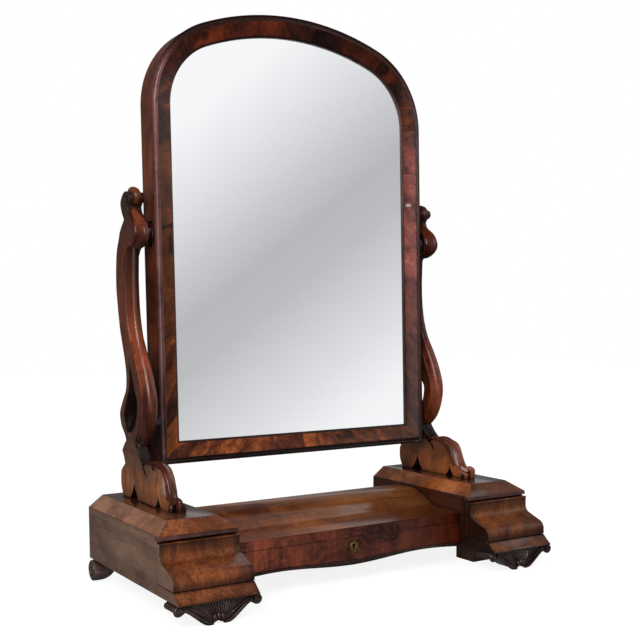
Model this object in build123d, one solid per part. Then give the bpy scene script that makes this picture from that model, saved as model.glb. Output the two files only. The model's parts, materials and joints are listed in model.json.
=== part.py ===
from build123d import *
import math
import os

os.makedirs("parts", exist_ok=True)

# A swing mirror on a stand of two drawer boxes with a low platform between them.
# Millimetres. X runs to the right, Y to the back and Z up. The origin is on the floor
# under the middle of the stand. Left and right are a viewer's, facing the mirror.

# Stand
box_span = 700.0
overall_depth = 349.0
foot_height = 34.5

# Drawer boxes
box_width = 128.0
box_side_height = 85.0
box_top_depth = 284.5
box_side_thickness = 8.0
box_back_thickness = 8.0
box_top_thickness = 18.0
side_bevel = 24.4
front_bevel = 24.8
lip_height = 6.0
lip_depth = 14.0
finger_gap = 3.0

# Ogee front of a box drawer, from its bead down to its belly
bead_height = 2.5
bead_reach = 1.0
neck_reach = 2.5
cavetto_radius = 13.0
cavetto_drop = 15.0
belly_radius = 15.0
belly_rise = 8.0
belly_setback = 16.7
front_tail = 7.0

# Plinth under the box front
plinth_height = 15.9
plinth_depth = 34.5
plinth_slope = 17.0
groove_height = 1.1

# Drawer trays
drawer_side_gap = 0.5
drawer_floor_gap = 0.3
tray_side = 6.0
tray_back = 6.0
tray_bottom = 4.0
tray_groove = 3.0
tray_bottom_lift = 3.0
box_drawer_stop = 6.5

# Centre platform
platform_setback = 25.0
platform_depth = 173.0
platform_thickness = 16.0
ledge_height = 56.0
ledge_depth = 58.0
platform_rise = 26.0
platform_slope = 26.0
cove_radius = 45.0
crown_radius = 120.0
platform_back_thickness = 8.0
dust_board_thickness = 5.0
dust_board_lift = 3.5
apron_depth = 19.0
apron_drop = 2.5
apron_height = 6.3
apron_wave = 3.6
apron_top_wave = 2.1
apron_period = 280.0
wave_step = 18.5

# Centre drawer and its lock
centre_front_thickness = 15.0
centre_front_gap = 0.4
tray_headroom = 2.0
centre_drawer_stop = 10.0
escutcheon_width = 15.0
escutcheon_height = 18.0
escutcheon_thickness = 1.2
keyhole_radius = 3.0
keyhole_slot = 3.2
keyhole_length = 8.0
keyhole_lift = 20.0
lock_width = 38.0
lock_height = 22.0
lock_depth = 8.0
bolt_width = 16.0
bolt_thickness = 5.0
bolt_height = 14.0
bolt_gap = 0.3
bolt_throw = 5.0
mortise_gap = 0.6

# Carved front foot
front_foot_setback = 2.5
front_foot_depth = 41.0
front_relief = 3.0
foot_scroll_span = 125.0
foot_scroll_radius = 7.0
foot_lobe_radius = 11.5
foot_lobe_spacing = 20.0
foot_flat = 0.3
foot_fan_petals = 5
foot_fan_turn = 27.0
petal_length = 15.0
petal_width = 4.6
petal_reach = 15.0

# Rear foot and foot block
rear_foot_radius = 17.0
rear_foot_reach = 4.0
rear_foot_length = 39.0
rear_foot_tail_radius = 11.0
rear_seat_width = 22.0
rear_seat_length = 27.0
foot_block_width = 46.0
foot_block_depth = 47.0
foot_block_inset = 27.0
foot_block_setback = 50.0

# Mirror
mirror_width = 527.4
mirror_bottom = 193.0
stile_height = 573.0
haunch_radius = 143.7
crown_rise = 22.8
mirror_depth = 50.0
face_width = 35.5
bead_radius = 4.75
bead_step = 2.5
face_fall = 10.0
sight_lip = 2.0
rebate_offset = 25.4
rebate_depth = 42.0
shelf_offset = 16.0
glass_thickness = 4.0
glass_clearance = 1.0
backboard_thickness = 7.0
tilt = 1.5

# Mirror pivots
pivot_y = 103.0
pivot_z = 562.0
pivot_setback = 25.3
pivot_gap = 10.3
boss_clearance = 0.3
boss_radius = 17.0
boss_waist = 14.0
boss_bore = 4.5
stud_radius = 4.0
stud_clearance = 0.05
stud_end_gap = 2.0
socket_radius = 7.0
socket_length = 12.0
plate_length = 40.0
plate_width = 16.0
plate_thickness = 2.0

# Uprights
upright_thickness = 25.0
roll_width = 21.0
roll_radius = 9.5
roll_depth = 24.0
head_radius = 21.0
reed_height = 2.6
head_setback = 13.0
roundel_radius = 9.0
crest_radius = 8.0
crest_width = 12.0
small_arch_height = 17.0
large_arch_height = 25.5
arch_lean_share = 0.29
arch_waist_share = 0.45
crest_height = 75.0
shaft_swell = 60.0
collar_height = 90.0
toe_length = 145.0

# Screws and glue blocks
upright_screw_radius = 2.5
upright_screw_length = 42.0
upright_screw_head = 4.5
screw_head_height = 3.0
upright_screw_front = 49.0
upright_screw_back = 32.0
board_screw_radius = 1.6
board_screw_length = 15.0
board_screw_head = 3.6
board_screw_head_height = 2.0
board_screw_inset = 20.7
screw_fit = 0.02
glue_block_leg = 11.0
glue_block_length = 32.0
stile_screw_shares = (0.10, 0.48, 0.88)
rail_screw_shares = (-0.65, 0.0, 0.65)
arch_screw_shares = (-0.8, 0.0, 0.8)
stile_block_shares = (0.19, 0.57, 0.92)
rail_block_shares = (-0.5, 0.5)

# Places worked out from the sizes
back_y = overall_depth / 2
plinth_front_y = -overall_depth / 2
box_outer_x = box_span / 2
box_inner_x = box_outer_x - box_width
box_centre_x = box_outer_x - box_width / 2
top_front_y = back_y - box_top_depth
side_top_z = foot_height + box_side_height
lid_z = side_top_z + box_top_thickness
lip_base_z = side_top_z - lip_height
front_top_z = lip_base_z - finger_gap
plinth_top_z = foot_height + plinth_height
front_base_z = plinth_top_z + groove_height
box_floor_z = front_base_z - drawer_floor_gap
neck_y = top_front_y - neck_reach
belly_y = plinth_front_y + belly_setback
plinth_back_y = plinth_front_y + plinth_depth
front_back_y = top_front_y + front_tail
box_back_inner_y = back_y - box_back_thickness

platform_front_y = top_front_y + platform_setback
platform_back_y = platform_front_y + platform_depth
ledge_z = foot_height + ledge_height
ledge_end_y = platform_front_y + ledge_depth
dust_board_z = foot_height + dust_board_lift
drawer_floor_z = dust_board_z + dust_board_thickness + drawer_floor_gap
centre_half_width = box_inner_x - drawer_side_gap
centre_front_back_y = platform_front_y + centre_front_thickness
centre_front_top_z = ledge_z - platform_thickness - centre_front_gap
platform_back_inner_y = platform_back_y - platform_back_thickness
keyhole_z = drawer_floor_z + keyhole_lift - keyhole_radius

mirror_half = mirror_width / 2
mirror_front_y = pivot_y - pivot_setback
haunch_x = mirror_half - haunch_radius
mirror_spring = mirror_bottom + stile_height
arch_rise = haunch_radius + crown_rise
mirror_apex = mirror_spring + arch_rise
arch_radius = (haunch_x**2 + arch_rise**2 - haunch_radius**2) / (2 * crown_rise)
arch_centre_z = mirror_apex - arch_radius
crown_half_angle = math.degrees(math.asin(haunch_x / (arch_radius - haunch_radius)))
glass_front = bead_step + face_fall + sight_lip
upright_inner_x = mirror_half + pivot_gap
upright_outer_x = upright_inner_x + upright_thickness

pieces = {}


# Building blocks

def board(x0, x1, y0, y1, z0, z1):
    # a plain board between two opposite corners
    size = Box(x1 - x0, y1 - y0, z1 - z0)
    return Pos((x0 + x1) / 2, (y0 + y1) / 2, (z0 + z1) / 2) * size


def across(profile, x0, x1):
    # a profile drawn in Y and Z, carried along X
    return extrude(Plane.YZ.offset(x0) * profile, amount=x1 - x0)


def backwards(profile, y0, y1):
    # a profile drawn in X and Z, carried along Y
    return extrude(Plane.XZ.offset(-y1) * profile, amount=y1 - y0)


def rod_x(radius, x0, x1, y, z):
    return across(Pos(y, z) * Circle(radius), x0, x1)


def rod_z(radius, z0, z1, x, y):
    return extrude(Plane.XY.offset(z0) * Pos(x, y) * Circle(radius), amount=z1 - z0)


def outline(*edges):
    return make_face(Curve() + list(edges))


def polygon(*points):
    return outline(Polyline(*points, close=True))


# Drawer boxes, built on the right and mirrored for the left

def ogee(top_z):
    # the front's line, from the neck down through cavetto, slope and belly
    hollow_y = neck_y - cavetto_radius
    hollow_z = front_top_z - cavetto_drop
    round_y = belly_y + belly_radius
    round_z = front_base_z + belly_rise
    reach = hollow_y - round_y
    drop = hollow_z - round_z
    turn = math.asin((cavetto_radius + belly_radius) / math.hypot(reach, drop))
    turn += math.atan2(reach, drop)

    def hollow(angle):
        return (hollow_y + cavetto_radius * math.cos(angle), hollow_z - cavetto_radius * math.sin(angle))

    def belly(angle):
        return (round_y - belly_radius * math.cos(angle), round_z + belly_radius * math.sin(angle))

    return [
        Line((neck_y, top_z), hollow(0)),
        ThreePointArc(hollow(0), hollow(turn / 2), hollow(turn)),
        Line(hollow(turn), belly(turn)),
        ThreePointArc(belly(turn), belly(turn / 2), belly(0)),
        Line(belly(0), (belly_y, front_base_z)),
    ]


def box_side(x0, x1):
    # a side board that ends behind the drawer front, notched for the lip and over the plinth
    front_y = front_back_y + drawer_floor_gap
    section = polygon(
        (plinth_back_y, foot_height),
        (back_y, foot_height),
        (back_y, side_top_z),
        (top_front_y + lip_depth, side_top_z),
        (top_front_y + lip_depth, lip_base_z),
        (front_y, lip_base_z),
        (front_y, plinth_top_z),
        (plinth_back_y, plinth_top_z),
    )
    return across(section, x0, x1)


def box_top():
    # both ends and the front are bevelled, the back is square
    ends = polygon(
        (box_inner_x, side_top_z),
        (box_outer_x, side_top_z),
        (box_outer_x - side_bevel, lid_z),
        (box_inner_x + side_bevel, lid_z),
    )
    front = polygon(
        (top_front_y, side_top_z),
        (back_y, side_top_z),
        (back_y, lid_z),
        (top_front_y + front_bevel, lid_z),
    )
    return backwards(ends, top_front_y, back_y) & across(front, box_inner_x, box_outer_x)


def plinth():
    section = polygon(
        (plinth_front_y, foot_height),
        (plinth_back_y, foot_height),
        (plinth_back_y, plinth_top_z),
        (plinth_front_y + plinth_slope, plinth_top_z),
    )
    return across(section, box_inner_x, box_outer_x)


def drawer_tray(x0, x1, y0, y1, z0, z1):
    # outer side, inner side, back and bottom behind a drawer front, the bottom in grooves
    bottom_z = z0 + tray_bottom_lift
    groove_x = tray_side - tray_groove
    bottom = board(x0 + groove_x, x1 - groove_x, y0 - tray_groove, y1, bottom_z, bottom_z + tray_bottom)
    inner = board(x0, x0 + tray_side, y0, y1, z0, z1) - bottom
    outer = board(x1 - tray_side, x1, y0, y1, z0, z1) - bottom
    back = board(x0 + tray_side, x1 - tray_side, y1 - tray_back, y1, bottom_z + tray_bottom, z1)
    return outer, inner, back, bottom


def box_drawer_front(x0, x1):
    bead_z = front_top_z - bead_height
    bead_y = neck_y - bead_reach
    rest = Polyline(
        (belly_y, front_base_z),
        (front_back_y, front_base_z),
        (front_back_y, front_top_z),
        (bead_y, front_top_z),
        (bead_y, bead_z),
        (neck_y, bead_z),
    )
    return across(outline(*ogee(bead_z), rest), x0, x1)


def drawer_box():
    side_inner_x = box_outer_x - box_side_thickness
    side_outer_x = box_inner_x + box_side_thickness
    made = {
        "box_outer_side": box_side(side_inner_x, box_outer_x),
        "box_inner_side": box_side(box_inner_x, side_outer_x),
        "box_back": board(side_outer_x, side_inner_x, box_back_inner_y, back_y, box_floor_z, side_top_z),
        "box_bottom": board(side_outer_x, side_inner_x, plinth_back_y, back_y, foot_height, box_floor_z),
        "box_plinth": plinth(),
        "box_lip": board(
            box_inner_x, box_outer_x, top_front_y, top_front_y + lip_depth, lip_base_z, side_top_z
        ),
        "box_top": box_top(),
    }
    x0 = side_outer_x + drawer_side_gap
    x1 = side_inner_x - drawer_side_gap
    tray_back_y = box_back_inner_y - box_drawer_stop
    outer, inner, back, bottom = drawer_tray(
        x0, x1, front_back_y, tray_back_y, front_base_z, front_top_z - bead_height
    )
    made["drawer_front"] = box_drawer_front(box_inner_x, box_outer_x) - bottom
    made["drawer_outer_side"] = outer
    made["drawer_inner_side"] = inner
    made["drawer_back"] = back
    made["drawer_bottom"] = bottom
    return made


# Feet

def front_foot():
    # a bracket between two scrolls, with two lobes and a fan of petals in the middle
    front_y = plinth_front_y + front_foot_setback
    end_y = front_y + front_foot_depth
    scroll_x = foot_scroll_span / 2
    scroll_z = foot_height - foot_scroll_radius
    flank = [(55.0, 29.0), (48.0, 25.5), (38.0, 17.0), (31.0, 10.8), (24.0, 5.5), (15.0, 2.0)]
    right = Spline(*flank)
    left = Spline(*[(-x, z) for x, z in flank])
    bracket = outline(
        Polyline((scroll_x, foot_height), (scroll_x, scroll_z), flank[0]),
        right,
        Line(flank[-1], (-flank[-1][0], flank[-1][1])),
        left,
        Polyline((-flank[0][0], flank[0][1]), (-scroll_x, scroll_z), (-scroll_x, foot_height)),
        Line((-scroll_x, foot_height), (scroll_x, foot_height)),
    )
    foot = backwards(bracket, front_y + front_relief, end_y)
    for side in (-1, 1):
        scroll = Pos(side * scroll_x, scroll_z) * Circle(foot_scroll_radius)
        foot += backwards(scroll, front_y, end_y)
        lobe_x = side * foot_lobe_spacing / 2
        lobe = Pos(lobe_x, foot_lobe_radius - foot_flat) * Circle(foot_lobe_radius)
        foot += backwards(lobe, front_y + front_relief / 2, end_y)
    for petal in range(foot_fan_petals):
        turn = (petal - (foot_fan_petals - 1) / 2) * foot_fan_turn
        shape = Pos(0, foot_lobe_radius) * Rot(0, 0, turn) * Pos(0, petal_reach - petal_length / 2)
        foot += backwards(shape * Ellipse(petal_width / 2, petal_length / 2), front_y, end_y - front_relief)
    foot &= board(-box_width, box_width, front_y, end_y, 0, foot_height)
    return Pos(box_centre_x, 0, 0) * foot


def rear_foot():
    # a turned drum on its side, tapering inwards, with a seat up to the box
    radius = rear_foot_radius
    centre_z = radius - foot_flat
    centre_y = back_y - radius
    end_x = box_outer_x + rear_foot_reach
    rim = 1.5
    disc = 8.0
    neck = 2.5
    section = outline(
        Polyline((0, 0), (0, radius - rim)),
        Line((0, radius - rim), (-rim, radius)),
        Polyline(
            (-rim, radius),
            (-disc, radius),
            (-disc - neck, radius - neck),
            (-disc - 2 * neck, radius - rim),
            (-rear_foot_length, rear_foot_tail_radius),
            (-rear_foot_length, 0),
            (0, 0),
        ),
    )
    turned = revolve(Plane.XZ * section, Axis.X)
    foot = Pos(end_x, centre_y, centre_z) * turned
    seat_x = end_x - disc - 2 * neck
    half = rear_seat_width / 2
    foot += board(
        seat_x - rear_seat_length, seat_x, centre_y - half, centre_y + half, centre_z, foot_height
    )
    lower = board(
        end_x - rear_foot_length, end_x, centre_y - radius, centre_y + radius, 0, foot_height
    )
    return foot & lower


def foot_block():
    x0 = box_inner_x + foot_block_inset
    y0 = plinth_back_y + foot_block_setback
    return board(x0, x0 + foot_block_width, y0, y0 + foot_block_depth, 0, foot_height)


# Centre platform

def wave_line(mean_z, height):
    # the apron's wavy edge, low in the middle, as a row of points across the platform
    count = 2 * round(box_inner_x / wave_step)
    points = []
    for i in range(count + 1):
        x = -box_inner_x + 2 * box_inner_x * i / count
        points.append((x, mean_z - height * math.cos(2 * math.pi * x / apron_period)))
    return Spline(*points)


def apron_top_line(lift):
    return wave_line(foot_height - apron_drop + apron_height + lift, apron_top_wave)


def under_wave(line, z):
    # the area between a wavy edge and a level line
    return outline(line, Polyline(line @ 1, (box_inner_x, z), (-box_inner_x, z), line @ 0))


def apron_rail():
    above = under_wave(wave_line(foot_height - apron_drop, apron_wave), ledge_z)
    below = under_wave(apron_top_line(0), 0)
    return backwards(above & below, platform_front_y, platform_front_y + apron_depth)


def platform_section():
    # a low front ledge that sweeps up through a cove and a crown to the back ledge
    slope = math.radians(platform_slope)
    cove_run = cove_radius * math.sin(slope)
    crown_run = crown_radius * math.sin(slope)
    arcs_rise = (cove_radius + crown_radius) * (1 - math.cos(slope))
    straight_run = (platform_rise - arcs_rise) / math.tan(slope)
    crown_y = ledge_end_y + cove_run + straight_run + crown_run
    high_z = ledge_z + platform_rise

    def surface(depth):
        # the line at a depth under the top, from the front to the back
        def cove(angle):
            radius = cove_radius + depth
            y = ledge_end_y + radius * math.sin(angle)
            return (y, ledge_z + cove_radius - radius * math.cos(angle))

        def crown(angle):
            radius = crown_radius - depth
            return (crown_y - radius * math.sin(angle), high_z - crown_radius + radius * math.cos(angle))

        return [
            Line((platform_front_y, ledge_z - depth), cove(0)),
            ThreePointArc(cove(0), cove(slope / 2), cove(slope)),
            Line(cove(slope), crown(slope)),
            ThreePointArc(crown(slope), crown(slope / 2), crown(0)),
            Line(crown(0), (platform_back_y, high_z - depth)),
        ]

    low = platform_thickness
    return outline(
        *surface(0),
        Line((platform_back_y, high_z), (platform_back_y, high_z - low)),
        *surface(low),
        Line((platform_front_y, ledge_z - low), (platform_front_y, ledge_z)),
    )


def bolt_space(gap, z0, z1):
    # the lock bolt's section with a gap round it
    half_x = bolt_width / 2 + gap
    half_y = bolt_thickness / 2 + gap
    y = centre_front_back_y + lock_depth / 2
    return board(-half_x, half_x, y - half_y, y + half_y, z0, z1)


def keyhole(y0, y1):
    slot = Pos(0, keyhole_z - keyhole_length / 2) * Rectangle(keyhole_slot, keyhole_length)
    return backwards(Pos(0, keyhole_z) * Circle(keyhole_radius) + slot, y0, y1)


def platform():
    board_base_z = ledge_z - platform_thickness
    mortise = bolt_space(mortise_gap, board_base_z, board_base_z + bolt_throw + mortise_gap)
    pieces["platform_top"] = across(platform_section(), -box_inner_x, box_inner_x) - mortise
    pieces["platform_back"] = board(
        -box_inner_x,
        box_inner_x,
        platform_back_inner_y,
        platform_back_y,
        foot_height,
        board_base_z + platform_rise,
    )
    pieces["platform_dust_board"] = board(
        -box_inner_x,
        box_inner_x,
        platform_front_y + apron_depth,
        platform_back_inner_y,
        dust_board_z,
        dust_board_z + dust_board_thickness,
    )
    pieces["platform_apron_rail"] = apron_rail()


def centre_drawer():
    half = centre_half_width
    tray_end_y = platform_back_inner_y - centre_drawer_stop
    tray_top_z = ledge_z - platform_thickness - tray_headroom
    right, left, back, bottom = drawer_tray(
        -half, half, centre_front_back_y, tray_end_y, drawer_floor_z, tray_top_z
    )
    face = under_wave(apron_top_line(centre_front_gap), centre_front_top_z)
    face &= Pos(0, ledge_z / 2) * Rectangle(2 * half, ledge_z)
    ring_y = platform_front_y - escutcheon_thickness
    lock_end_y = centre_front_back_y + lock_depth
    hole = keyhole(ring_y, centre_front_back_y + lock_depth / 4)
    front = backwards(face, platform_front_y, centre_front_back_y)
    pieces["centre_drawer_front"] = front - bottom - hole
    pieces["centre_drawer_left_side"] = left
    pieces["centre_drawer_right_side"] = right
    pieces["centre_drawer_back"] = back
    pieces["centre_drawer_bottom"] = bottom
    ring_z = keyhole_z - (keyhole_length - keyhole_radius) / 2
    ring = Pos(0, ring_z) * Ellipse(escutcheon_width / 2, escutcheon_height / 2)
    pieces["escutcheon"] = backwards(ring, ring_y, platform_front_y) - hole
    lock_z = centre_front_top_z - lock_height
    lock_half = lock_width / 2
    case = board(-lock_half, lock_half, centre_front_back_y, lock_end_y, lock_z, centre_front_top_z)
    bolt_z = centre_front_top_z - bolt_height
    case -= bolt_space(bolt_gap, bolt_z - bolt_gap, centre_front_top_z)
    pieces["lock_case"] = case - hole
    pieces["lock_bolt"] = bolt_space(0, bolt_z, centre_front_top_z)


# Mirror, built upright and then leaned back about its pivots

def leaned(piece):
    return piece.rotate(Axis((0, pivot_y, pivot_z), (1, 0, 0)), -tilt)


def arched(inset):
    # the mirror's outline, brought in evenly by an inset
    half = mirror_half - inset
    haunch = haunch_radius - inset
    crown = arch_radius - inset
    spring = mirror_spring
    join = math.radians(crown_half_angle)

    def on_haunch(side, angle):
        return (side * (haunch_x + haunch * math.cos(angle)), spring + haunch * math.sin(angle))

    def on_crown(angle):
        return (crown * math.sin(angle), arch_centre_z + crown * math.cos(angle))

    quarter = math.pi / 2 - join
    base = mirror_bottom + inset
    return outline(
        Polyline((-half, spring), (-half, base), (half, base), (half, spring)),
        ThreePointArc((half, spring), on_haunch(1, quarter / 2), on_crown(join)),
        ThreePointArc(on_crown(join), on_crown(0), on_crown(-join)),
        ThreePointArc(on_crown(-join), on_haunch(-1, quarter / 2), (-half, spring)),
    )


def frame_section():
    # across the frame: in from the outer edge, and back from the front of the bead
    bead_turn = math.asin((bead_radius - bead_step) / bead_radius)
    bead_end = (bead_radius * (1 + math.cos(bead_turn)), bead_step)
    return outline(
        ThreePointArc((0, bead_radius), (bead_radius, 0), bead_end),
        Polyline(
            bead_end,
            (face_width, bead_step + face_fall),
            (face_width, glass_front),
            (rebate_offset, glass_front),
            (rebate_offset, rebate_depth),
            (shelf_offset, rebate_depth),
            (shelf_offset, mirror_depth),
            (0, mirror_depth),
            (0, bead_radius),
        ),
    )


def section_plane(x, z, inward):
    # places the frame section at the outer edge, with its first axis pointing inwards
    return Plane(origin=(x, mirror_front_y, z), x_dir=inward, z_dir=Vector(inward).cross(Vector(0, 1, 0)))


def mirror_arch():
    level = section_plane(mirror_half, mirror_spring, (-1, 0, 0)) * frame_section()
    haunch_axis = Axis((haunch_x, 0, mirror_spring), (0, -1, 0))
    haunch = revolve(level, haunch_axis, 90 - crown_half_angle)
    upright = section_plane(0, mirror_apex, (0, 0, -1)) * frame_section()
    crown_axis = Axis((0, 0, arch_centre_z), (0, -1, 0))
    crown = revolve(upright.rotate(crown_axis, -crown_half_angle), crown_axis, 2 * crown_half_angle)
    return haunch + crown + mirror(haunch, about=Plane.YZ)


def mirror_rails():
    # stile and bottom rail, mitred at the corner
    reach = 2 * face_width
    back = mirror_front_y + mirror_depth
    stile_mask = polygon(
        (mirror_half, mirror_bottom),
        (mirror_half, mirror_spring),
        (mirror_half - reach, mirror_spring),
        (mirror_half - reach, mirror_bottom + reach),
    )
    rail_mask = polygon(
        (-mirror_half, mirror_bottom),
        (mirror_half, mirror_bottom),
        (mirror_half - reach, mirror_bottom + reach),
        (reach - mirror_half, mirror_bottom + reach),
    )
    level = section_plane(mirror_half, mirror_spring, (-1, 0, 0)) * frame_section()
    stile = extrude(level, amount=mirror_spring - mirror_bottom, dir=(0, 0, -1))
    stile &= backwards(stile_mask, mirror_front_y, back)
    upright = section_plane(-mirror_half, mirror_bottom, (0, 0, 1)) * frame_section()
    rail = extrude(upright, amount=mirror_width, dir=(1, 0, 0))
    rail &= backwards(rail_mask, mirror_front_y, back)
    return stile, rail


def board_screws():
    # screws round the backboard's edge, and the holes that take them
    edge = board_screw_inset
    join_x = mirror_half - edge
    heights = [mirror_bottom + share * stile_height for share in stile_screw_shares]
    places = [(side * join_x, z) for side in (-1, 1) for z in heights]
    places += [(share * mirror_half, mirror_bottom + edge) for share in rail_screw_shares]
    crown = arch_radius - edge
    for share in arch_screw_shares:
        turn = math.radians(share * crown_half_angle)
        places.append((crown * math.sin(turn), arch_centre_z + crown * math.cos(turn)))
    board_back = mirror_front_y + rebate_depth + backboard_thickness
    screws = []
    holes = Part()
    for x, z in places:
        tip_y = board_back - board_screw_length
        shank = backwards(Pos(x, z) * Circle(board_screw_radius), tip_y, board_back)
        head_back = board_back + board_screw_head_height
        head = backwards(Pos(x, z) * Circle(board_screw_head), board_back, head_back)
        screws.append(shank + head)
        wide = Pos(x, z) * Circle(board_screw_radius + screw_fit)
        holes += backwards(wide, tip_y, board_back)
    return screws, holes


def glue_blocks():
    # three-sided blocks in the corner between the glass and the rebate's wall
    glass_back = mirror_front_y + glass_front + glass_thickness
    wall_x = mirror_half - rebate_offset
    wall_z = mirror_bottom + rebate_offset
    leg = glue_block_leg
    half = glue_block_length / 2
    blocks = []
    for side in (-1, 1):
        for share in stile_block_shares:
            z = mirror_bottom + share * stile_height
            corner = Polyline(
                (side * wall_x, glass_back),
                (side * (wall_x - leg), glass_back),
                (side * wall_x, glass_back + leg),
                close=True,
            )
            blocks.append(extrude(Plane.XY.offset(z - half) * make_face(corner), amount=2 * half))
    for share in rail_block_shares:
        x = share * mirror_half
        corner = polygon((glass_back, wall_z), (glass_back, wall_z + leg), (glass_back + leg, wall_z))
        blocks.append(across(corner, x - half, x + half))
    return blocks


def pivot_plate():
    # a plate let into the stile's edge, with the stud that the mirror turns on
    plate = board(
        mirror_half - plate_thickness,
        mirror_half,
        pivot_y - plate_width / 2,
        pivot_y + plate_width / 2,
        pivot_z - plate_length / 2,
        pivot_z + plate_length / 2,
    )
    end_x = upright_inner_x + socket_length - stud_end_gap
    return plate + rod_x(stud_radius, mirror_half, end_x, pivot_y, pivot_z)


def swing_mirror():
    arch = mirror_arch()
    stile, rail = mirror_rails()
    screws, holes = board_screws()
    plate = pivot_plate()
    plate_back = mirror_front_y + rebate_depth
    right_stile = stile - holes - plate
    left_stile = mirror(stile - plate, about=Plane.YZ) - holes
    glass = arched(rebate_offset + glass_clearance)
    glass_y = mirror_front_y + glass_front
    backing = arched(shelf_offset + glass_clearance)
    made = {
        "mirror_right_stile": right_stile,
        "mirror_left_stile": left_stile,
        "mirror_bottom_rail": rail - holes,
        "mirror_arch": arch - holes,
        "mirror_glass": backwards(glass, glass_y, glass_y + glass_thickness),
        "mirror_backboard": backwards(backing, plate_back, plate_back + backboard_thickness) - holes,
        "right_pivot_plate": plate,
        "left_pivot_plate": mirror(plate, about=Plane.YZ),
    }
    for name, piece in made.items():
        pieces[name] = leaned(piece)
    pieces["backboard_screws"] = Compound([leaned(screw).solid() for screw in screws])
    pieces["glass_blocks"] = Compound([leaned(block).solid() for block in glue_blocks()])


# Uprights, built on the right and mirrored for the left

def shaft_points(pairs):
    # shares of the swell behind the pivot, and of the height from the collar to the pivot
    collar_z = lid_z + collar_height
    return [(pivot_y + y * shaft_swell, collar_z + z * (pivot_z - collar_z)) for y, z in pairs]


def base_points(pairs):
    # shares of the toe's length behind the pivot, and of the collar's height over the box top
    return [(pivot_y + y * toe_length, lid_z + z * collar_height) for y, z in pairs]


def head_points(pairs):
    # shares of the crest's height, behind the pivot and above it
    return [(pivot_y + y * crest_height, pivot_z + z * crest_height) for y, z in pairs]


def upright_layer(profile, width):
    # a profile as wide as asked, in the middle of the upright's thickness
    middle = (upright_inner_x + upright_outer_x) / 2
    return across(profile, middle - width / 2, middle + width / 2)


def roll(front, *behind):
    # a round nosing along a front line, closed behind by the other edges
    bar = upright_layer(outline(Spline(*front), *behind), roll_width)
    return fillet(bar.edges().filter_by(GeomType.BSPLINE).sort_by(Axis.Y)[:2], roll_radius)


def scroll_shaft():
    # the S that swells at the back, sweeps forward and curls in again over the collar
    arris = shaft_points(
        [(0.417, 0.93), (0.45, 0.83), (0.46, 0.734), (0.402, 0.639), (0.247, 0.543), (-0.057, 0.45)]
        + [(-0.305, 0.356), (-0.552, 0.265), (-0.64, 0.217), (-0.567, 0.147), (-0.417, 0.082), (-0.14, 0.006)]
    )
    crest = shaft_points(
        [(0.03, 0.935), (0.177, 0.861), (0.21, 0.777), (0.18, 0.67), (0.08, 0.575), (-0.12, 0.49)]
        + [(-0.437, 0.405), (-0.74, 0.31), (-0.905, 0.215), (-0.87, 0.133), (-0.65, 0.04), (-0.35, 0)]
    )
    back = shaft_points(
        [(0.4, 1.05), (0.768, 0.975), (0.965, 0.881), (0.997, 0.737), (0.953, 0.687), (0.783, 0.541)]
        + [(0.483, 0.4), (0.408, 0.302), (0.683, 0.202), (0.907, 0.14), (0.833, 0.078), (0.487, 0.007)]
    )
    body = outline(Spline(*arris), Line(arris[-1], back[-1]), Spline(*back), Line(back[0], arris[0]))
    tear_back = shaft_points(
        [(0.283, 0.425), (0.233, 0.34), (0.25, 0.28), (0.417, 0.215), (0.583, 0.15)]
        + [(0.6, 0.085), (0.217, 0.05)]
    )
    tear_front = shaft_points(
        [(0.217, 0.05), (-0.133, 0.095), (-0.3, 0.18), (-0.167, 0.28), (0.05, 0.345), (0.283, 0.425)]
    )
    tear = outline(Spline(*tear_back), Spline(*tear_front))
    behind = [(y + roll_depth, z) for y, z in reversed(crest)]
    nosing = roll(crest, Line(crest[-1], behind[0]), Spline(*behind), Line(behind[-1], crest[0]))
    return upright_layer(body, upright_thickness) + nosing - upright_layer(tear, upright_thickness)


def scroll_head():
    # a reeded disc in front, and behind it the neck that runs up to a roundel and a crest
    centre_y = pivot_y - head_setback
    half_reed = upright_thickness / 4
    edge = head_radius
    section = outline(
        Polyline((0, edge), (0, 0), (upright_thickness, 0), (upright_thickness, edge)),
        ThreePointArc(
            (upright_thickness, edge),
            (upright_thickness - half_reed, edge + reed_height),
            (upright_thickness / 2, edge),
        ),
        ThreePointArc((upright_thickness / 2, edge), (half_reed, edge + reed_height), (0, edge)),
    )
    disc = Pos(upright_inner_x, centre_y, pivot_z) * revolve(Plane.XY * section, Axis.X)
    neck_front = head_points([(-0.173, 0.267), (-0.053, 0.387), (0.04, 0.493), (0.05, 0.6), (0.16, 0.853)])
    neck_back = head_points(
        [(0.16, 0.853), (0.28, 0.853), (0.393, 0.784), (0.468, 0.664), (0.451, 0.557), (0.384, 0.425)]
        + [(0.288, 0.301), (0.425, 0.175), (0.536, 0.056), (0.615, -0.109)]
    )
    low = head_points([(0.45, -0.5), (-0.04, -0.3)])
    neck = outline(Spline(*neck_front), Spline(*neck_back), Polyline(neck_back[-1], *low, neck_front[0]))
    roundel_y, roundel_z = head_points([(0.02, 0.733)])[0]
    roundel = Pos(roundel_y, roundel_z) * Circle(roundel_radius)
    crest_y, crest_z = head_points([(0.24, 0.9)])[0]
    crest = upright_layer(Pos(crest_y, crest_z) * Circle(crest_radius), crest_width)
    crest = fillet(crest.edges().filter_by(GeomType.CIRCLE), crest_width / 3)
    return disc + upright_layer(neck + roundel, upright_thickness) + crest


def pointed_arch(y0, y1, height):
    # a small pierced arch that stands on the box top, its sides two arcs that flare at the foot
    apex = ((y0 + y1) / 2, lid_z + height)
    lean = (y1 - y0) * arch_lean_share
    waist = lid_z + height * arch_waist_share
    return outline(
        Line((y0, lid_z), (y1, lid_z)),
        ThreePointArc((y1, lid_z), (y1 - lean, waist), apex),
        ThreePointArc(apex, (y0 + lean, waist), (y0, lid_z)),
    )


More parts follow.
